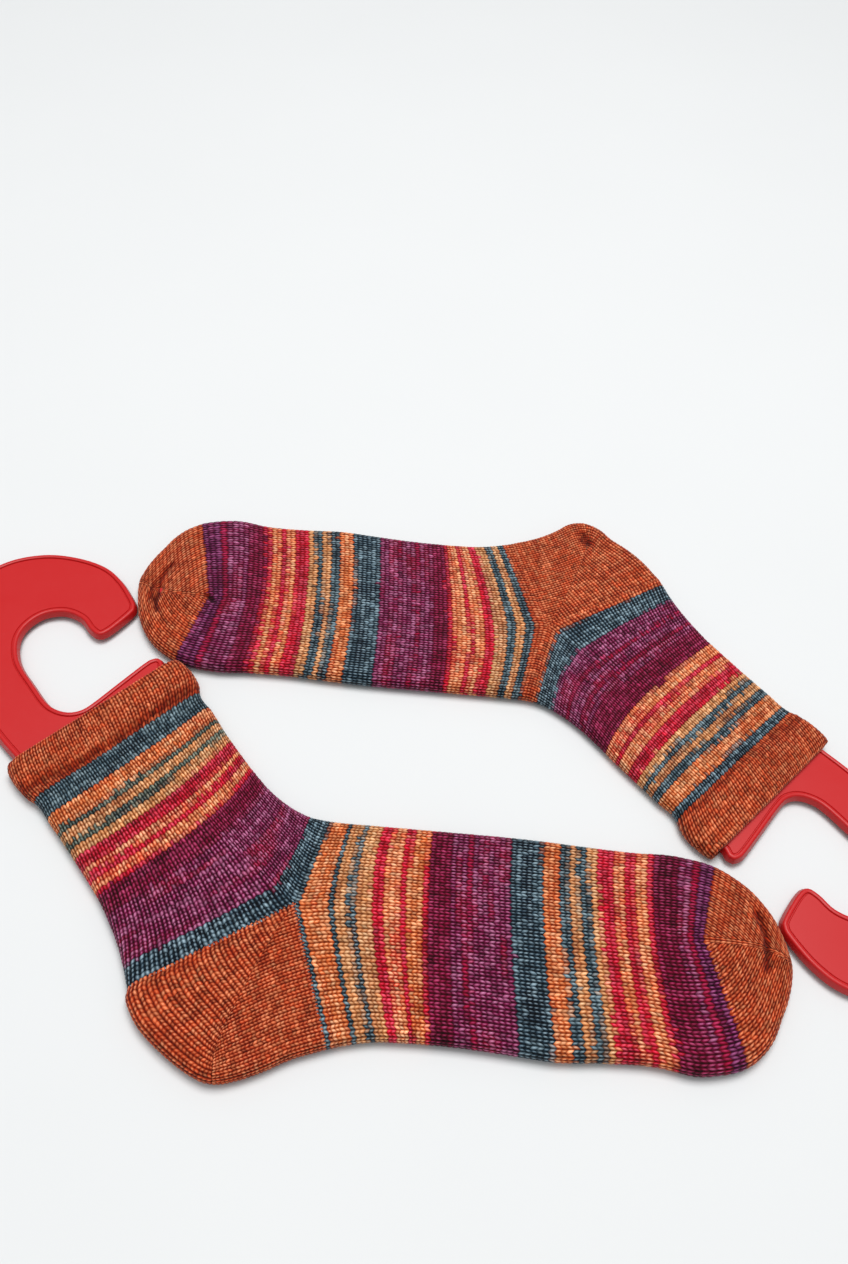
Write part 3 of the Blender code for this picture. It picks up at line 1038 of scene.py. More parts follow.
@dataclass
class SockPattern:
    """The cut of one sock and the surface that it takes on its blocker."""

    side: Side
    thickness: float = 7.6
    front_fill: float = 0.0
    cuff_count: int = 11
    leg_count: int = 49
    foot_count: int = 74
    toe_count: int = 17
    heel_count: int = 27
    front_wales: int = 15
    back_wales: int = 18
    heel_leg_wales: int = 20
    heel_sole_wales: int = 22
    samples: int = 36
    row_step: float = 0.5
    cuff_height: float = 21.6
    edge_step: float = 0.25
    heel_points: int = 241
    crease_spacing: float = 1.0
    lean: float = 0.10
    cuff_lean: float = 0.16
    curve_count: float = 16.0
    creases: tuple[Crease, ...] = ()
    radius: float = field(init=False)
    leg_end: float = field(init=False)
    foot_end: float = field(init=False)
    toe_end: float = field(init=False)
    knots_all: Grid = field(init=False)
    table: Grid = field(init=False)
    upper_knots: Grid = field(init=False)
    upper_table: Grid = field(init=False)
    lower_knots: Grid = field(init=False)
    lower_table: Grid = field(init=False)
    edge: Grid = field(init=False)

    def __post_init__(self) -> None:
        """Work out the tables of front, middle and back points, and the sock's edge."""
        self.radius = self.thickness / 2
        leg = self.filled(LEG_COURSES, LEG_FILLS)
        foot = self.filled(FOOT_COURSES, FOOT_FILLS)
        toe = self.filled(TOE_COURSES, TOE_FILLS)
        cuff = self.cuff_table()
        self.leg_end = float(self.leg_count)
        self.foot_end = self.leg_end + self.foot_count
        self.toe_end = self.foot_end + self.toe_count
        heights = np.array([step.height for step in CUFF_STEPS])
        cuff_knots = -heights[:0:-1] * self.cuff_count / self.cuff_height
        leg_knots = self.knots(leg, 0.0, self.leg_end)
        foot_knots = self.knots(foot, self.leg_end, self.foot_end)
        toe_knots = self.knots(toe, self.foot_end, self.toe_end)
        self.knots_all = np.concatenate([cuff_knots, leg_knots, foot_knots[1:], toe_knots[1:]])
        self.table = np.concatenate([cuff, leg, foot[1:], toe[1:]])
        self.upper_knots = np.concatenate([cuff_knots, leg_knots])
        self.upper_table = np.concatenate([cuff, leg])
        self.lower_knots = np.concatenate([foot_knots, toe_knots[1:]])
        self.lower_table = np.concatenate([foot, toe[1:]])
        self.edge = self.whole_edge()

    def filled(self, rows: Sequence[Course], shares: Sequence[float]) -> Grid:
        """Move the front edge out or in for this sock.

        Args:
            rows: The courses.
            shares: The share of front_fill that each course's front edge moves by.

        Returns:
            The moved courses as a table, with one row for each.
        """
        table = np.array(rows, float)
        outward = table[:, 0:2] - table[:, 2:4]
        outward /= lengths(outward)
        table[:, 0:2] += outward * self.front_fill * np.array(shares)[:, None]
        return table

    def cuff_table(self) -> Grid:
        """Work out the cuff's courses from its lower edge's line and its steps.

        Returns:
            The courses from the upper edge down, with their bulging sides, as a table.
        """
        first = LEG_COURSES[0]
        across = np.array([first.back_x - first.front_x, first.back_y - first.front_y])
        across /= np.linalg.norm(across)
        upward = np.array([across[1], -across[0]])
        rows = []
        for step in reversed(CUFF_STEPS[1:]):
            lift = upward * step.height
            front = np.array(first[0:2]) + lift - across * step.front_bulge
            middle = np.array(first[2:4]) + lift
            back = np.array(first[4:6]) + lift + across * step.back_bulge
            rows.append([*front, *middle, *back])
        return np.array(rows)

    @staticmethod
    def knots(table: Grid, start: float, end: float) -> Grid:
        """Number a table's courses by their distance along the middle wale."""
        along = np.concatenate([[0.0], np.cumsum(np.linalg.norm(np.diff(table[:, 2:4], axis=0), axis=1))])
        return start + along / along[-1] * (end - start)

    def front(self, courses: Grid) -> Grid:
        """Return the plan points of the front edge."""
        return smooth_at(self.knots_all, self.table[:, 0:2], courses)

    def middle(self, courses: Grid) -> Grid:
        """Return the plan points of the middle wale."""
        return smooth_at(self.knots_all, self.table[:, 2:4], courses)

    def calf(self, courses: Grid) -> Grid:
        """Return the plan points of the back edge above the heel."""
        return smooth_at(self.upper_knots, self.upper_table[:, 4:6], courses)

    def sole(self, courses: Grid) -> Grid:
        """Return the plan points of the back edge below the heel."""
        return smooth_at(self.lower_knots, self.lower_table[:, 4:6], courses)

    def heel_path(self) -> Grid:
        """Draw the heel's edge as a smooth curve.

        Returns:
            Finely spaced plan points from the calf to the sole.
        """
        calf, sole = self.upper_table[-1, 4:6], self.lower_table[0, 4:6]
        before, after = self.upper_table[-2, 4:6], self.lower_table[1, 4:6]
        points = np.array([before, calf, *HEEL_OUTLINES[self.side], sole, after])
        knots = np.arange(len(points), dtype=float)
        return smooth_at(knots, points, np.linspace(1.0, knots[-2], self.heel_points))

    def whole_edge(self) -> Grid:
        """Join the sock's edges.

        Returns:
            The ends of short straight runs, from the back of the cuff round the toe to the cuff's front.
        """
        upper = np.arange(-self.cuff_count, self.leg_end + SNAP, self.edge_step)
        lower = np.arange(self.leg_end, self.toe_end + SNAP, self.edge_step)
        every = np.arange(-self.cuff_count, self.toe_end + SNAP, self.edge_step)
        tip = self.middle(np.array([self.toe_end]))
        runs = [self.calf(upper), self.heel_path()[1:-1], self.sole(lower), tip, self.front(every)[::-1]]
        return np.concatenate(runs)

    @staticmethod
    def gap(points: Grid, path: Grid, batch: int = 4000) -> Grid:
        """Measure how far plan points lie from a path of straight runs.

        Args:
            points: The plan points, in a grid of any shape.
            path: The path's points.
            batch: How many points are measured at once.

        Returns:
            The distance of each point, in the grid's shape.
        """
        start = path[:-1]
        run = path[1:] - start
        square = np.maximum((run * run).sum(1), TINY)
        flat = points.reshape(-1, 2)
        gaps = np.empty(len(flat))
        for first in range(0, len(flat), batch):
            part = flat[first : first + batch, None, :]
            share = np.clip(((part - start) * run).sum(2) / square, 0, 1)
            away = np.linalg.norm(part - start - share[..., None] * run, axis=2)
            gaps[first : first + batch] = away.min(1)
        return gaps.reshape(points.shape[:-1])

    def rise(self, points: Grid) -> Grid:
        """Return the share of its full height that the cloth has at each plan point: a half-round edge."""
        level = np.clip(1.0 - self.gap(points, self.edge) / self.radius, 0, 1)
        return np.sqrt(1.0 - level * level)

    def spread(
        self,
        start: Grid,
        end: Grid,
        count: int,
        from_edge: bool,
        bow: Any = 0.0,
    ) -> tuple[Grid, Grid]:
        """Lay points evenly over the rounded surface above each plan line.

        Args:
            start: The plan points where the lines start.
            end: The plan points where they end.
            count: How many steps to lay on each line.
            from_edge: True where the line starts at the sock's edge, False where it ends there.
            bow: How far each line bows aside at its middle, as plan vectors.

        Returns:
            The plan points and their rise, lines by steps plus one.
        """
        share = np.linspace(0, 1, self.samples) ** 2
        share = share if from_edge else 1 - share[::-1]
        across = share[None, :, None]
        bow = np.broadcast_to(bow, start.shape)[:, None] * 4.0
        plan = start[:, None] + (end - start)[:, None] * across + bow * across * (1 - across)
        rise = self.rise(plan)
        solid = np.concatenate([plan, rise[..., None] * self.radius], axis=2)
        along = np.linalg.norm(np.diff(solid, axis=1), axis=2)
        along = np.concatenate([np.zeros((len(start), 1)), np.cumsum(along, axis=1)], axis=1)
        wanted = np.linspace(0, 1, count + 1)
        shares = np.stack([np.interp(wanted * run[-1], run, share) for run in along])[..., None]
        plan = start[:, None] + (end - start)[:, None] * shares + bow * shares * (1 - shares)
        return plan, self.rise(plan)

    def swell(self, courses: Grid) -> Grid:
        """Read how far the cuff's upper face stands above the leg's.

        Args:
            courses: The courses to read it at.

        Returns:
            The height of the swelling at each course.
        """
        heights = np.array([step.height for step in CUFF_STEPS])
        swells = np.array([step.swell for step in CUFF_STEPS])
        return np.interp(-courses * self.cuff_height / self.cuff_count, heights, swells, left=0.0)

    def faces_of(self, plan: Grid, rise: Grid, swell: Grid) -> tuple[Grid, Grid]:
        """Lay the upper and the lower face over plan points.

        Args:
            plan: The plan points, as courses by places.
            rise: The share of its full height that the cloth has at each.
            swell: How much higher the upper face stands at each course.

        Returns:
            The upper and the lower face's points.
        """
        upper = self.radius + (self.radius + swell[:, None]) * rise
        for crease in self.creases:
            upper -= crease.depth * self.pressed(plan, crease) * rise
        lower = self.radius - self.radius * rise
        return np.dstack([plan, upper]), np.dstack([plan, lower])

    def pressed(self, plan: Grid, crease: Crease) -> Grid:
        """Return how far plan points are pressed into a crease: 1 on its line and falling softly to 0."""
        away = self.gap(plan, smooth_path(crease.points, self.crease_spacing)) / crease.width
        return np.exp(-away * away)

    def shaded(self, points: Grid) -> Grid:
        """Work out the painted shade that darkens the yarn in the upper face's troughs.

        Args:
            points: The cloth's points.

        Returns:
            The painted shade at each point, from 0 to 1.
        """
        dark = np.zeros(points.shape[:-1])
        for crease in self.creases:
            dark = np.maximum(dark, crease.shade * self.pressed(points[..., :2], crease))
        return dark * (points[..., 2] > self.radius)

    def tube(self, start: float, end: float) -> Patch:
        """Return the surface of a stretch of the leg, foot or toe, as a closed ring of places from 0 to 4.

        Args:
            start: The first course.
            end: The last course.

        Returns:
            The surface, with one column for each half wale.
        """
        courses = np.arange(start, end + self.row_step / 2, self.row_step)
        front, middle = self.front(courses), self.middle(courses)
        back = self.calf(courses) if (start + end) / 2 < self.leg_end else self.sole(courses)
        bow = (2 * middle - front - back) / 8.0 * self.rounded(courses)[:, None]
        front_plan, front_rise = self.spread(front, middle, self.front_wales * 2, True, bow)
        back_plan, back_rise = self.spread(middle, back, self.back_wales * 2, False, bow)
        plan = np.concatenate([front_plan[:, :-1], back_plan], axis=1)
        rise = np.concatenate([front_rise[:, :-1], back_rise], axis=1)
        upper, lower = self.faces_of(plan, rise, self.swell(courses))
        points = np.concatenate([upper, lower[:, -2:0:-1]], axis=1)
        upper_places = np.concatenate(
            [np.linspace(0, 1, self.front_wales * 2 + 1), np.linspace(1, 2, self.back_wales * 2 + 1)[1:]]
        )
        places = np.concatenate([upper_places, ROUND - upper_places[-2:0:-1]])
        return Patch(courses, places, points, True)

    def rounded(self, courses: Grid) -> Grid:
        """Work out how far courses curve through their middle points: not at the gusset or in the toe.

        Args:
            courses: The courses.

        Returns:
            A share from 0, bent at the middle point, to 1, a smooth curve.
        """
        gusset = np.clip(np.abs(courses - self.leg_end) / self.curve_count, 0, 1)
        toe = np.clip((self.foot_end - courses) / self.curve_count, 0, 1)
        share = np.minimum(gusset, toe)
        return share * share * (3 - 2 * share)

    def place(self, wales: Grid, courses: Grid) -> Grid:
        """Find wales on the tube, as they lean across the leg and the cuff.

        Args:
            wales: The wale of each point.
            courses: The course of each point.

        Returns:
            The place of each point round the tube.
        """
        knots = np.cumsum([0, self.front_wales, self.back_wales, self.back_wales, self.front_wales])
        leaning = np.clip(self.leg_end - courses, 0, self.leg_end) * self.lean
        leaning += np.clip(-courses, 0, None) * self.cuff_lean
        return np.interp((wales - leaning) % knots[-1], knots, np.arange(ROUND + 1))

    def heel_fan(self, sole_side: bool) -> Patch:
        """Return half of the heel as a fan of courses from the mitre to the edge, on both faces.

        Args:
            sole_side: True for the half that joins the foot, False for the half that joins the leg.

        Returns:
            The surface, with places from 0 at the upper mitre, 1 at the edge, to 2 at the lower mitre.
        """
        courses = np.arange(-1, self.heel_count + self.row_step / 2, self.row_step)
        shares = courses / self.heel_count
        mitre = smooth_at(np.linspace(0, 1, len(MITRE)), np.array(MITRE), shares)
        path = self.heel_path()
        tip = int(np.argmin(np.linalg.norm(path - np.array(HEEL_OUTLINES[self.side][HEEL_TIP]), axis=1)))
        half = path[tip:][::-1] if sole_side else path[: tip + 1]
        along = np.concatenate([[0.0], np.cumsum(np.linalg.norm(np.diff(half, axis=0), axis=1))])
        edge = np.stack([np.interp(shares * along[-1], along, half[:, axis]) for axis in range(2)], axis=1)
        plan, rise = self.spread(mitre, edge, self.back_wales * 2, False)
        upper, lower = self.faces_of(plan, rise, np.zeros(len(courses)))
        points = np.concatenate([upper, lower[:, -2::-1]], axis=1)
        if sole_side:
            points = points[:, ::-1]
        places = np.linspace(0, 2, points.shape[1])
        return Patch(courses, places, points, False)


@dataclass
class Knitter:
    """Knits the pieces of one sock: lays stitches on the pattern's surface and colours them."""

    pattern: SockPattern
    stitch: Stitch
    seed: int
    tuck_rows: int = 2
    tip_wales: float = 1.2
    tip_crowding: float = 0.25
    line_points: int = 200
    spare_courses: float = 2.0

    def leaning(self, slant: float) -> "Knitter":
        """Return a knitter whose stitches' legs lean by another slant."""
        return replace(self, stitch=replace(self.stitch, slant=slant))

    def surface(self, patch: Patch, courses: Grid, places: Grid, relief: Grid) -> Grid:
        """Return vertex places: the surface, with the stitches' relief along its normals.

        Args:
            patch: The smooth surface.
            courses: The course of each vertex.
            places: The place round the tube of each vertex.
            relief: The yarn's height at each vertex, from 0 to 1.

        Returns:
            The vertices in the sock's frame, in millimetres.
        """
        base = patch.read(patch.points, courses, places)
        normal = patch.read(patch.normals(), courses, places)
        normal /= np.maximum(lengths(normal), TINY)
        height = (relief - 1.0) * self.stitch.depth + self.stitch.proud
        points = base + normal * height[..., None]
        points[..., 2] = np.maximum(points[..., 2], 0.0)
        return points

    def placed(self, points: Grid) -> Grid:
        """Lay the sock in its place in the pair: the far one is turned by half a turn.

        Args:
            points: Points in the sock's frame, in millimetres.

        Returns:
            The points in the pair's frame, in metres.
        """
        flip = 1.0 if self.pattern.side is Side.NEAR else -1.0
        moved = points * np.array([flip, flip, 1.0]) + np.array([0.0, PAIR_CENTRE, 0.0])
        return moved * MM

    def stitches(self, wales: Grid, rows: Grid, rng: np.random.Generator) -> tuple[Grid, Grid, Grid]:
        """Return the slanted course, relief and strand values of a grid of vertices.

        Args:
            wales: The wale place of each column.
            rows: The place along the slanted legs of each row, in courses.
            rng: The piece's own random numbers.

        Returns:
            The course, the relief and the strand values at each vertex.
        """
        wale_grid, row_grid = np.meshgrid(wales, rows)
        stitch = self.stitch
        relief = stitch.relief(wale_grid, row_grid)
        relief *= 1.0 + stitch.unevenness * soft_noise(rng, rows, wales, stitch.height_cell)
        courses = stitch.slanted(wale_grid, row_grid)
        courses += stitch.unevenness * soft_noise(rng, rows, wales, stitch.shift_cell)
        along = np.abs(wale_grid % 1.0 - 0.5) * 2 * stitch.wale
        across = row_grid % 1.0 * stitch.yarn_width
        # The third strand value is how deep each point lies in a hollow; the yarn's material paints shade
        # from it.
        strand = np.dstack([along, across, 1.0 - np.clip(relief, 0, 1)])
        return courses, relief, strand

    @staticmethod
    def grid_faces(rows: int, columns: int, ring: bool) -> Grid:
        """Join a grid's vertices by faces.

        Args:
            rows: How many rows of vertices it has.
            columns: How many columns.
            ring: True where the last column joins the first.

        Returns:
            The four corners of every face.
        """
        last = columns if ring else columns - 1
        row, column = np.meshgrid(np.arange(rows - 1), np.arange(last), indexing="ij")
        right = (column + 1) % columns
        corners = [row * columns + column, row * columns + right, (row + 1) * columns + right]
        corners.append((row + 1) * columns + column)
        return np.stack([corner.ravel() for corner in corners], axis=1)

    def leg_colours(
        self, wales: Grid, rows: Grid, ring: bool, dyes: Chart, pitch: float, rng: np.random.Generator
    ) -> tuple[Grid, Grid]:
        """Colour every face of a grid, the same all over one leg of a stitch.

        Args:
            wales: The wale place of each column.
            rows: The course of each row.
            ring: True where the last column joins the first.
            dyes: The chart to colour from.
            pitch: Millimetres of the chart for each course.
            rng: The piece's own random numbers.

        Returns:
            The ply's and the fleck's colour for each face.
        """
        leg = np.floor(wales * 2 + SNAP).astype(int)
        leg = leg if ring else leg[:-1]
        course = np.floor(rows[:-1] + SNAP).astype(int)
        course = np.maximum(course - math.ceil(rows.min()), 0)
        legs, courses = np.arange(leg.max() + 1.0), np.arange(course.max() + 1.0)
        drift = soft_noise(rng, courses, legs, dyes.wander_run) * dyes.wander
        drift = drift + rng.normal(0.0, dyes.speckle, (len(courses), len(legs)))
        places = (courses[:, None] + 0.5 + drift) * pitch
        ply, fleck = dyes.colours(places, legs, rng)
        return ply[course][:, leg].reshape(-1, 3), fleck[course][:, leg].reshape(-1, 3)

    def tube_mesh(self, start: float, end: float, dyes: Chart, seed: int) -> KnitMesh:
        """Knit a plain tube.

        Args:
            start: Its first course.
            end: Its last course.
            dyes: The chart of its stripes, from its first course on.
            seed: The piece's own seed.

        Returns:
            The tube's vertices, faces and colours.
        """
        rng = np.random.default_rng(self.seed + seed)
        pattern, stitch = self.pattern, self.stitch
        half = pattern.front_wales + pattern.back_wales
        turned = math.ceil(pattern.lean * max(0.0, pattern.leg_end - start))
        wales = stitch.columns(half + turned, half - turned)
        tuck = self.tuck_rows if end < pattern.toe_end else 0
        rows = np.arange(start * stitch.rows - self.tuck_rows, end * stitch.rows + tuck + 1) / stitch.rows
        courses, relief, strand = self.stitches(wales, rows, rng)
        spare = self.spare_courses
        patch = pattern.tube(start - spare, min(end + spare, pattern.toe_end))
        places = pattern.place(np.broadcast_to(wales, courses.shape), courses)
        if start >= pattern.foot_end:
            places = self.decreased(patch, courses, wales)
        relief -= np.clip(np.maximum(rows - end, start - rows), 0, 1)[:, None]
        points = self.surface(patch, courses, places, relief)
        # Painted shade in the creases is added to the hollow value that the material darkens by.
        strand[..., 2] += pattern.shaded(points)
        points = self.placed(points)
        faces = self.grid_faces(len(rows), len(wales), True)
        pitch = self.chart_pitch(start, end)
        ply, fleck = self.leg_colours(wales, rows, True, dyes, pitch, rng)
        return KnitMesh(points.reshape(-1, 3), strand.reshape(-1, 3), faces, ply, fleck)

    def chart_pitch(self, start: float, end: float) -> float:
        """Return the millimetres of middle wale for each course of a stretch."""
        line = self.pattern.middle(np.linspace(start, end, self.line_points))
        return float(np.linalg.norm(np.diff(line, axis=0), axis=1).sum() / (end - start))

    def decreased(self, patch: Patch, courses: Grid, wales: Grid) -> Grid:
        """Return the places of the toe's wales, which end one by one beside the decrease line.

        Args:
            patch: The toe's surface.
            courses: The course of each vertex.
            wales: The wale place of each column.

        Returns:
            The place round the tube of each vertex.
        """
        pattern = self.pattern
        rows = np.clip(courses, patch.courses[0], patch.courses[-1])
        flat = rows.ravel()
        middle = pattern.middle(flat)
        widths = [np.linalg.norm(pattern.front(flat) - middle, axis=1)]
        widths.append(np.linalg.norm(pattern.sole(flat) - middle, axis=1))
        first = np.array([pattern.foot_end])
        start = pattern.middle(first)
        full = [np.linalg.norm(pattern.front(first) - start), np.linalg.norm(pattern.sole(first) - start)]
        places = np.empty(courses.shape)
        half = pattern.front_wales + pattern.back_wales
        folded = np.where(wales > half, 2 * half - wales, wales)
        for index, count in enumerate((pattern.front_wales, pattern.back_wales)):
            left = widths[index].reshape(courses.shape) / full[index] * count
            left = np.clip(left, self.tip_wales, count)
            beside = np.abs(folded - pattern.front_wales)[None, :]
            removed = count - left
            kept = np.where(beside <= 0.5, beside, np.maximum(beside - removed, 0.5)) / left
            kept = kept ** (1.0 + self.tip_crowding * removed / count)
            here = (folded <= pattern.front_wales) if index == 0 else (folded > pattern.front_wales)
            value = 1.0 - kept if index == 0 else 1.0 + kept
            places[:, here] = value[:, here]
        under = wales > half
        places[:, under] = ROUND - places[:, under]
        return places

    def heel_mesh(self, dyes: Chart, seed: int) -> KnitMesh:
        """Knit the short-row heel: two fans of courses whose wales meet at the mitre.

        Args:
            dyes: The heel's chart.
            seed: The piece's own seed.

        Returns:
            The heel's vertices, faces and colours.
        """
        parts = []
        for index, sole_side in enumerate((False, True)):
            rng = np.random.default_rng(self.seed + seed + index)
            parts.append(self.fan_mesh(self.pattern.heel_fan(sole_side), sole_side, dyes, rng))
        shift = len(parts[0].points)
        return KnitMesh(
            np.concatenate([part.points for part in parts]),
            np.concatenate([part.strand for part in parts]),
            np.concatenate([parts[0].faces, parts[1].faces + shift]),
            np.concatenate([part.ply for part in parts]),
            np.concatenate([part.fleck for part in parts]),
        )

    def fan_mesh(self, patch: Patch, sole_side: bool, dyes: Chart, rng: np.random.Generator) -> KnitMesh:
        """Knit one half of the heel.

        Args:
            patch: The half's surface.
            sole_side: True for the half that joins the foot.
            dyes: The heel's chart.
            rng: The half's own random numbers.

        Returns:
            The half's vertices, faces and colours.
        """
        pattern, stitch = self.pattern, self.stitch
        count = pattern.heel_sole_wales if sole_side else pattern.heel_leg_wales
        wales = np.append(stitch.columns(count, count), 2.0 * count)
        if sole_side:
            wales = 2.0 * count - wales[::-1]
        rows = np.arange(-self.tuck_rows, pattern.heel_count * stitch.rows + 1) / stitch.rows
        courses, relief, strand = self.stitches(wales, rows, rng)
        if sole_side:
            courses = stitch.slanted(*np.meshgrid(wales, -rows)) * -1.0
        relief -= np.clip(-rows, 0, 1)[:, None]
        courses = np.clip(courses, -1, pattern.heel_count)
        worked = np.clip(courses, 0, None) / pattern.heel_count * MITRE_WALES
        beside = np.minimum(wales, 2 * count - wales)[None, :]
        share = np.clip((beside - worked) / (count - worked), 0, 1)
        places = np.where(wales[None, :] <= count, share, 2.0 - share)
        points = self.surface(patch, courses, places, relief)
        # Painted shade in the creases is added to the hollow value that the material darkens by.
        strand[..., 2] += pattern.shaded(points)
        points = self.placed(points)
        faces = self.grid_faces(len(rows), len(wales), False)
        ply, fleck = self.leg_colours(wales, rows, False, dyes, stitch.course, rng)
        return KnitMesh(points.reshape(-1, 3), strand.reshape(-1, 3), faces, ply, fleck)


@dataclass
class Blocker:
    """The moulded plate inside a sock, with its raised rounded rim, the groove beside it and the hook."""

    pattern: SockPattern
    finish: PlasticFinish
    low: float = 1.8
    high: float = 5.8
    inset: float = 4.5
    draft: float = 0.8
    rounding: float = 1.0
    panel: float = 5.3
    groove: float = 4.9
    under_step: float = 1.4
    rim_step: float = 1.5
    rim_drop: float = 0.02
    shoulder_step: float = 1.85
    shoulder_drop: float = 0.2
    groove_steps: tuple[float, float] = (2.1, 2.35)
    panel_step: float = 2.6
    arc_steps: int = 4
    corner_limit: float = 1.3
    sharp_angle: float = 35.0
    hook_spacing: float = 1.6
    body_spacing: float = 5.5

    def loop(self) -> Grid:
        """Draw the plate's upper edge: the sock's edge moved in, and then the hook.

        Returns:
            The plan points of the closed edge.
        """
        pattern = self.pattern
        cuff_rows = len(CUFF_STEPS) - 1
        rows = [row[4:6] for row in pattern.upper_table[cuff_rows:]]
        rows += [np.array(point) for point in HEEL_OUTLINES[pattern.side]]
        rows += [row[4:6] for row in pattern.lower_table]
        rows.append(pattern.lower_table[-1, 2:4])
        rows += [row[0:2] for row in pattern.table[: cuff_rows - 1 : -1]]
        points = np.array(rows)
        ahead = np.gradient(points, axis=0)
        ahead /= lengths(ahead)
        moved = points + np.stack([-ahead[:, 1], ahead[:, 0]], axis=1) * self.inset
        kept = [moved[0]]
        for point in moved[1:-1]:
            if np.linalg.norm(point - kept[-1]) > self.body_spacing:
                kept.append(point)
        kept.append(moved[-1])
        body = smooth_path(kept, self.body_spacing)
        hook = smooth_path(HOOK_OUTLINE, self.hook_spacing)
        return np.concatenate([body, hook[::-1]])

    def moved_in(self, loop: Grid, distance: float) -> Grid:
        """Move each point of a closed loop square to the loop, towards its inside.

        Args:
            loop: The loop's points.
            distance: How far the loop's runs move.

        Returns:
            The moved points.
        """
        into = loop - np.roll(loop, 1, axis=0)
        out = np.roll(loop, -1, axis=0) - loop
        into /= lengths(into)
        out /= lengths(out)
        square = np.stack([-into[:, 1] - out[:, 1], into[:, 0] + out[:, 0]], axis=1)
        square /= lengths(square)
        stretch = 1.0 / np.sqrt((1.0 + (into * out).sum(1)) / 2.0)
        return loop + square * (distance * np.minimum(stretch, self.corner_limit))[:, None]

    def profile(self) -> list[tuple[float, float]]:
        """Draw the section of the plate's edge, from below round the rim to the panel.

        Returns:
            The section's points, as steps in from the plate's outline and heights.
        """
        low, high, turn = self.low, self.high, self.rounding
        section = [(turn - self.draft + self.under_step, low)]
        for step in range(self.arc_steps + 1):
            angle = math.radians(90 * (1 - step / self.arc_steps))
            section.append((turn - self.draft - turn * math.cos(angle), low + turn * (1 - math.sin(angle))))
        for step in range(self.arc_steps + 1):
            angle = math.radians(90 * step / self.arc_steps)
            section.append((turn - turn * math.cos(angle), high - turn + turn * math.sin(angle)))
        section.append((self.rim_step, high - self.rim_drop))
        section.append((self.shoulder_step, high - self.shoulder_drop))
        section += [(inward, self.groove) for inward in self.groove_steps]
        section.append((self.panel_step, self.panel))
        return section

    def build(self, holder: Knitter) -> bpy.types.Object:
        """Make the plate and dress it.

        Args:
            holder: The knitter, which knows where the sock lies.

        Returns:
            The plate.
        """
        loop = self.loop()
        rings = []
        for inset, height in self.profile():
            plan = self.moved_in(loop, inset)
            rings.append(np.column_stack([plan, np.full(len(plan), height)]))
        points = holder.placed(np.concatenate(rings))
        count = len(loop)
        faces = []
        for ring in range(len(rings) - 1):
            for index in range(count):
                after = (index + 1) % count
                start, inner = ring * count, (ring + 1) * count
                faces.append((start + index, start + after, inner + after, inner + index))
        top = (len(rings) - 1) * count
        faces.append(tuple(range(count))[::-1])
        faces.append(tuple(range(top, top + count)))
        mesh = bpy.data.meshes.new(f"{self.pattern.side.value}_blocker_plate")
        mesh.from_pydata(points.tolist(), [], faces)
        mesh.validate()
        mesh.shade_smooth()
        mesh.set_sharp_from_angle(angle=math.radians(self.sharp_angle))
        mesh.materials.append(self.finish.material(f"{self.pattern.side.value} blocker plastic"))
        made = bpy.data.objects.new(mesh.name, mesh)
        bpy.context.collection.objects.link(made)
        return made


@dataclass
class Cuff:
    """The turned hem at the top of the leg, with its rounded upper edge and the layer folded inside."""

    knitter: Knitter
    inner_courses: int = 3
    rim_courses: int = 2
    side_wales: int = 2
    wall: float = 0.72
    upper_wall: float = 0.40
    rim_reach: float = 1.3
    inside_turn: float = 2.8
    inside_relief: float = 0.4

    def mesh(self, seed: int) -> KnitMesh:
        """Knit the cuff, from the inner layer over the rim and down its outside.

        Args:
            seed: The piece's own seed.

        Returns:
            The cuff's vertices, faces and colours.
        """
        knitter, pattern, stitch = self.knitter, self.knitter.pattern, self.knitter.stitch
        rng = np.random.default_rng(knitter.seed + seed)
        half = pattern.front_wales + pattern.back_wales
        turned = math.ceil(pattern.lean * pattern.leg_end + pattern.cuff_lean * pattern.cuff_count)
        wales = stitch.columns(half + self.side_wales, half - self.side_wales, turned - self.side_wales)
        first = -pattern.cuff_count - self.inner_courses - self.rim_courses
        rows = np.arange(first * stitch.rows, 1) / stitch.rows
        courses, relief, strand = knitter.stitches(wales, rows, rng)
        patch = pattern.tube(-float(pattern.cuff_count), 1.0)
        places = pattern.place(np.broadcast_to(wales, courses.shape), courses)
        normals = patch.normals()
        top = -pattern.cuff_count + 1.0
        outer = np.maximum(courses, top)
        base = patch.read(patch.points, outer, places)
        normal = patch.read(normals, outer, places)
        normal /= lengths(normal)
        upward = base - patch.read(patch.points, outer + 0.5, places)
        upward /= lengths(upward)
        over = np.clip((top - courses) / (self.rim_courses + 1.0), 0, 1) * np.pi
        wall = self.wall + self.upper_wall * np.clip((base[..., 2] - pattern.radius) / pattern.radius, 0, 1)
        inner = np.clip(top - courses - self.rim_courses - 1.0, 0, None) * stitch.course
        lift = wall * np.sin(over) * self.rim_reach - inner
        sink = wall * (1 - np.cos(over))
        centre = base + upward * lift[..., None] - normal * sink[..., None]
        outward = normal * np.cos(over)[..., None] + upward * np.sin(over)[..., None]
        height = (relief - 1.0) * stitch.depth + stitch.proud
        height *= np.where(over > self.inside_turn, self.inside_relief, 1.0)
        points = centre + outward * height[..., None]
        points[..., 2] = np.maximum(points[..., 2], 0.0)
        # Painted shade in the creases is added to the hollow value that the material darkens by.
        strand[..., 2] += pattern.shaded(points)
        faces = knitter.grid_faces(len(rows), len(wales), True)
        ply, fleck = knitter.leg_colours(wales, rows, True, PLAIN, stitch.course, rng)
        return KnitMesh(knitter.placed(points).reshape(-1, 3), strand.reshape(-1, 3), faces, ply, fleck)


class Stretch(NamedTuple):
    """One knitted stretch of a sock: its name, its material slot, its flat size in metres and its seed."""

    part: str
    slot: str
    flat: tuple[float, float]
    seed: int


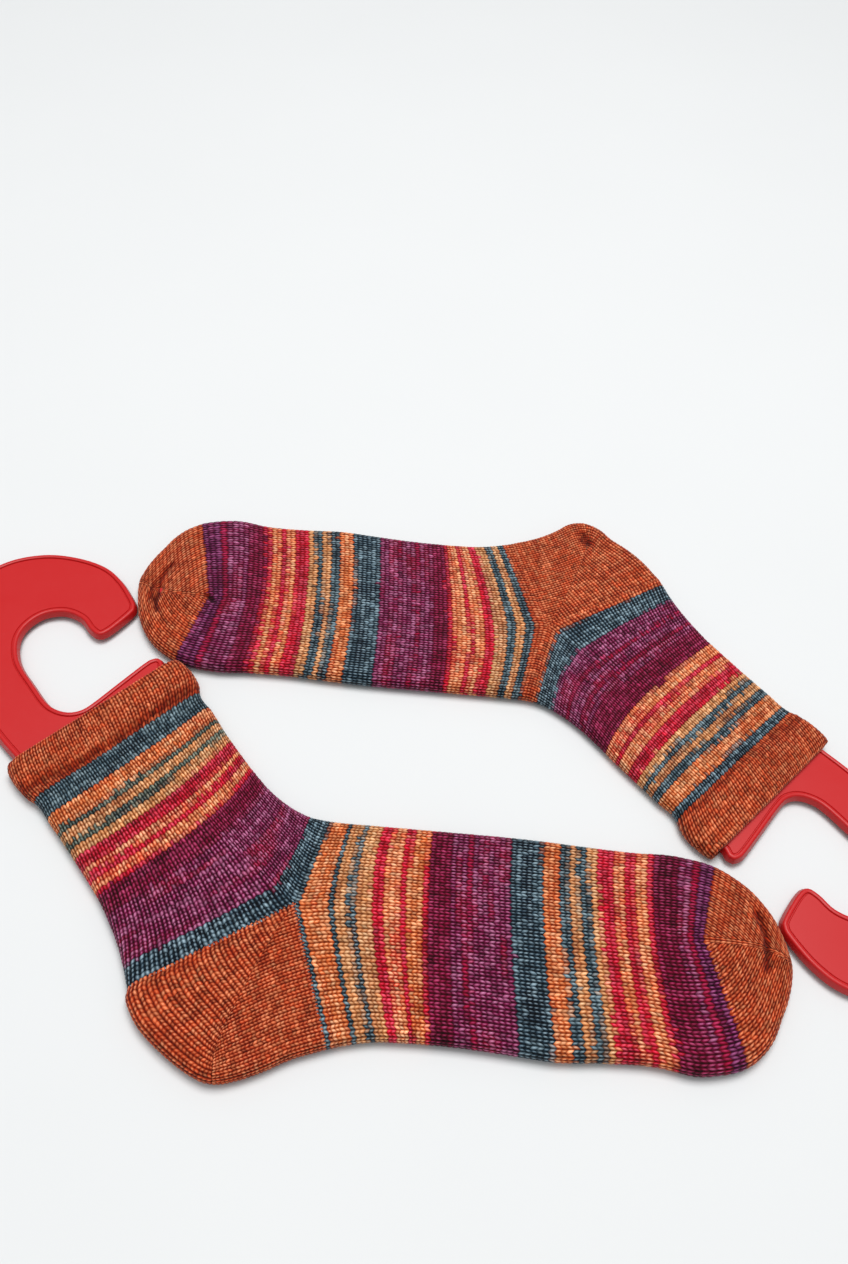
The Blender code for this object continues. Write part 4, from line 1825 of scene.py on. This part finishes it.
# The stretches in the order of knitting. The heel's second half takes the seed after its own.
STRETCHES = (
    Stretch("cuff", "terracotta_cuff", (0.170, 0.031), 1),
    Stretch("leg", "striped_leg", (0.186, 0.103), 2),
    Stretch("heel", "terracotta_heel", (0.100, 0.086), 3),
    Stretch("foot", "striped_foot", (0.186, 0.157), 5),
    Stretch("toe", "terracotta_toe", (0.130, 0.034), 6),
)


@dataclass
class Sock:
    """One sock of the pair on its blocker."""

    pattern: SockPattern
    seed: int
    cuff_slant: float = 1.1
    leg_slant: float = 0.95
    toe_slant: float = 1.2
    stitch: Stitch = field(default_factory=Stitch)
    finish: KnitFinish = field(default_factory=KnitFinish)
    plastic: PlasticFinish = field(default_factory=PlasticFinish)

    def build(self) -> list[bpy.types.Object]:
        """Knit every piece, put it on its CAD node's place and hide that node.

        Returns:
            The sock's pieces.
        """
        pattern, side = self.pattern, self.pattern.side
        knitter = Knitter(pattern, self.stitch, self.seed)
        plate = Blocker(pattern, self.plastic).build(knitter)
        self.settle(plate, "blocker")
        pieces = [plate]
        cuff, leg, heel, foot, toe = STRETCHES
        cuff_knitter, toe_knitter = knitter.leaning(self.cuff_slant), knitter.leaning(self.toe_slant)
        leg_knitter = knitter.leaning(self.leg_slant)
        meshes = (
            Cuff(cuff_knitter).mesh(cuff.seed),
            leg_knitter.tube_mesh(0.0, pattern.leg_end, LEG_CHARTS[side], leg.seed),
            cuff_knitter.heel_mesh(PLAIN, heel.seed),
            knitter.tube_mesh(pattern.leg_end, pattern.foot_end, FOOT_CHARTS[side], foot.seed),
            toe_knitter.tube_mesh(pattern.foot_end, pattern.toe_end, PLAIN, toe.seed),
        )
        for (part, slot, flat, _), mesh in zip(STRETCHES, meshes, strict=True):
            material = self.finish.material(f"{side.value} {part} yarn")
            made = mesh.object(f"{side.value}_{part}_knit", material)
            self.settle(made, part)
            pieces.append(made)
        return pieces

    def settle(self, piece: bpy.types.Object, part: str) -> None:
        """Ride a piece on the body, in place of its CAD node, and report it.

        Args:
            piece: The new piece.
            part: The last word of its CAD node's name.
        """
        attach(piece, "root")
        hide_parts(f"{self.pattern.side.value}_{part}")
        LOG.info("%s: %d faces", piece.name, len(piece.data.polygons))


class Lamp(NamedTuple):
    """A soft light: its name, its place and its width in metres, and its power in watts."""

    name: str
    place: tuple[float, float, float]
    size: float
    power: float


@dataclass
class Studio:
    """The table, the light and the camera."""

    pitch: float = 51.97
    roll: float = -6.498
    turn: float = -0.7325
    eye: tuple[float, float, float] = (-12.9, -247.8, 402.4)
    frame_height: float = 1264.0
    focal_pixels: float = 1100.0
    sensor: float = 36.0
    near_clip: float = 0.01
    table_size: float = 6.0
    table_drop: float = 0.0002
    window: Lamp = Lamp("window", (0.1, 0.45, 2.1), 1.2, 40.0)
    fill: Lamp = Lamp("fill", (-0.3, -0.6, 2.4), 2.0, 14.0)
    sky: tuple[float, float, float, float] = (0.90, 0.93, 0.95, 1.0)
    sky_strength: float = 0.42

    def camera(self) -> bpy.types.Object:
        """Make the camera at its measured place, pitch and roll.

        Returns:
            The camera.
        """
        data = bpy.data.cameras.new("camera")
        data.sensor_width = self.sensor
        data.lens = self.focal_pixels / self.frame_height * self.sensor
        data.clip_start = self.near_clip
        made = bpy.data.objects.new("camera", data)
        pitch, roll = math.radians(self.pitch), math.radians(self.roll)
        right = Vector((1.0, 0.0, 0.0))
        down = Vector((0.0, -math.sin(pitch), -math.cos(pitch)))
        ahead = Vector((0.0, math.cos(pitch), -math.sin(pitch)))
        across = right * math.cos(roll) + down * math.sin(roll)
        upward = right * math.sin(roll) - down * math.cos(roll)
        turn = Matrix.Rotation(math.radians(self.turn), 3, "Z")
        axes = Matrix((turn @ across, turn @ upward, turn @ -ahead)).transposed()
        made.matrix_world = Matrix.Translation(Vector(self.eye) * MM) @ axes.to_4x4()
        bpy.context.collection.objects.link(made)
        bpy.context.scene.camera = made
        return made

    @staticmethod
    def hang(lamp: Lamp) -> bpy.types.Object:
        """Hang a lamp so that it faces the pair.

        Args:
            lamp: The lamp.

        Returns:
            The light.
        """
        data = bpy.data.lights.new(lamp.name, "AREA")
        data.size = lamp.size
        data.energy = lamp.power
        made = bpy.data.objects.new(lamp.name, data)
        made.location = lamp.place
        made.rotation_euler = (-Vector(lamp.place)).to_track_quat("-Z", "Y").to_euler()
        bpy.context.collection.objects.link(made)
        return made

    def table(self) -> bpy.types.Object:
        """Make the table's top, a wide flat sheet just under the socks.

        Returns:
            The table's top.
        """
        half = self.table_size / 2
        mesh = bpy.data.meshes.new("table_top")
        corners = [(-half, -half, 0.0), (half, -half, 0.0), (half, half, 0.0), (-half, half, 0.0)]
        mesh.from_pydata(corners, [], [(0, 1, 2, 3)])
        mesh.materials.append(TableFinish().material("pale table"))
        made = bpy.data.objects.new("table_top", mesh)
        made.location.z = -self.table_drop
        bpy.context.collection.objects.link(made)
        return made

    def build(self) -> None:
        """Set the table, the light and the camera."""
        self.camera()
        self.hang(self.window)
        self.hang(self.fill)
        self.table()
        world = bpy.data.worlds.new("studio")
        world.use_nodes = True
        background = world.node_tree.nodes["Background"]
        background.inputs["Color"].default_value = self.sky
        background.inputs["Strength"].default_value = self.sky_strength
        bpy.context.scene.world = world
        bpy.context.scene.view_settings.view_transform = "Standard"


def main() -> None:
    """Load the frame, knit both socks round it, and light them."""
    logging.basicConfig(level=logging.INFO, format="%(message)s")
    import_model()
    Studio().build()
    socks = (
        Sock(SockPattern(Side.NEAR, front_fill=-1.9, creases=CREASES[Side.NEAR]), seed=11),
        Sock(
            SockPattern(Side.FAR, front_fill=1.9, cuff_lean=0.24, creases=CREASES[Side.FAR]),
            seed=42,
            cuff_slant=0.65,
            leg_slant=0.7,
            toe_slant=0.8,
        ),
    )
    for sock in socks:
        sock.build()
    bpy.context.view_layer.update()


if __name__ == "__main__":
    main()
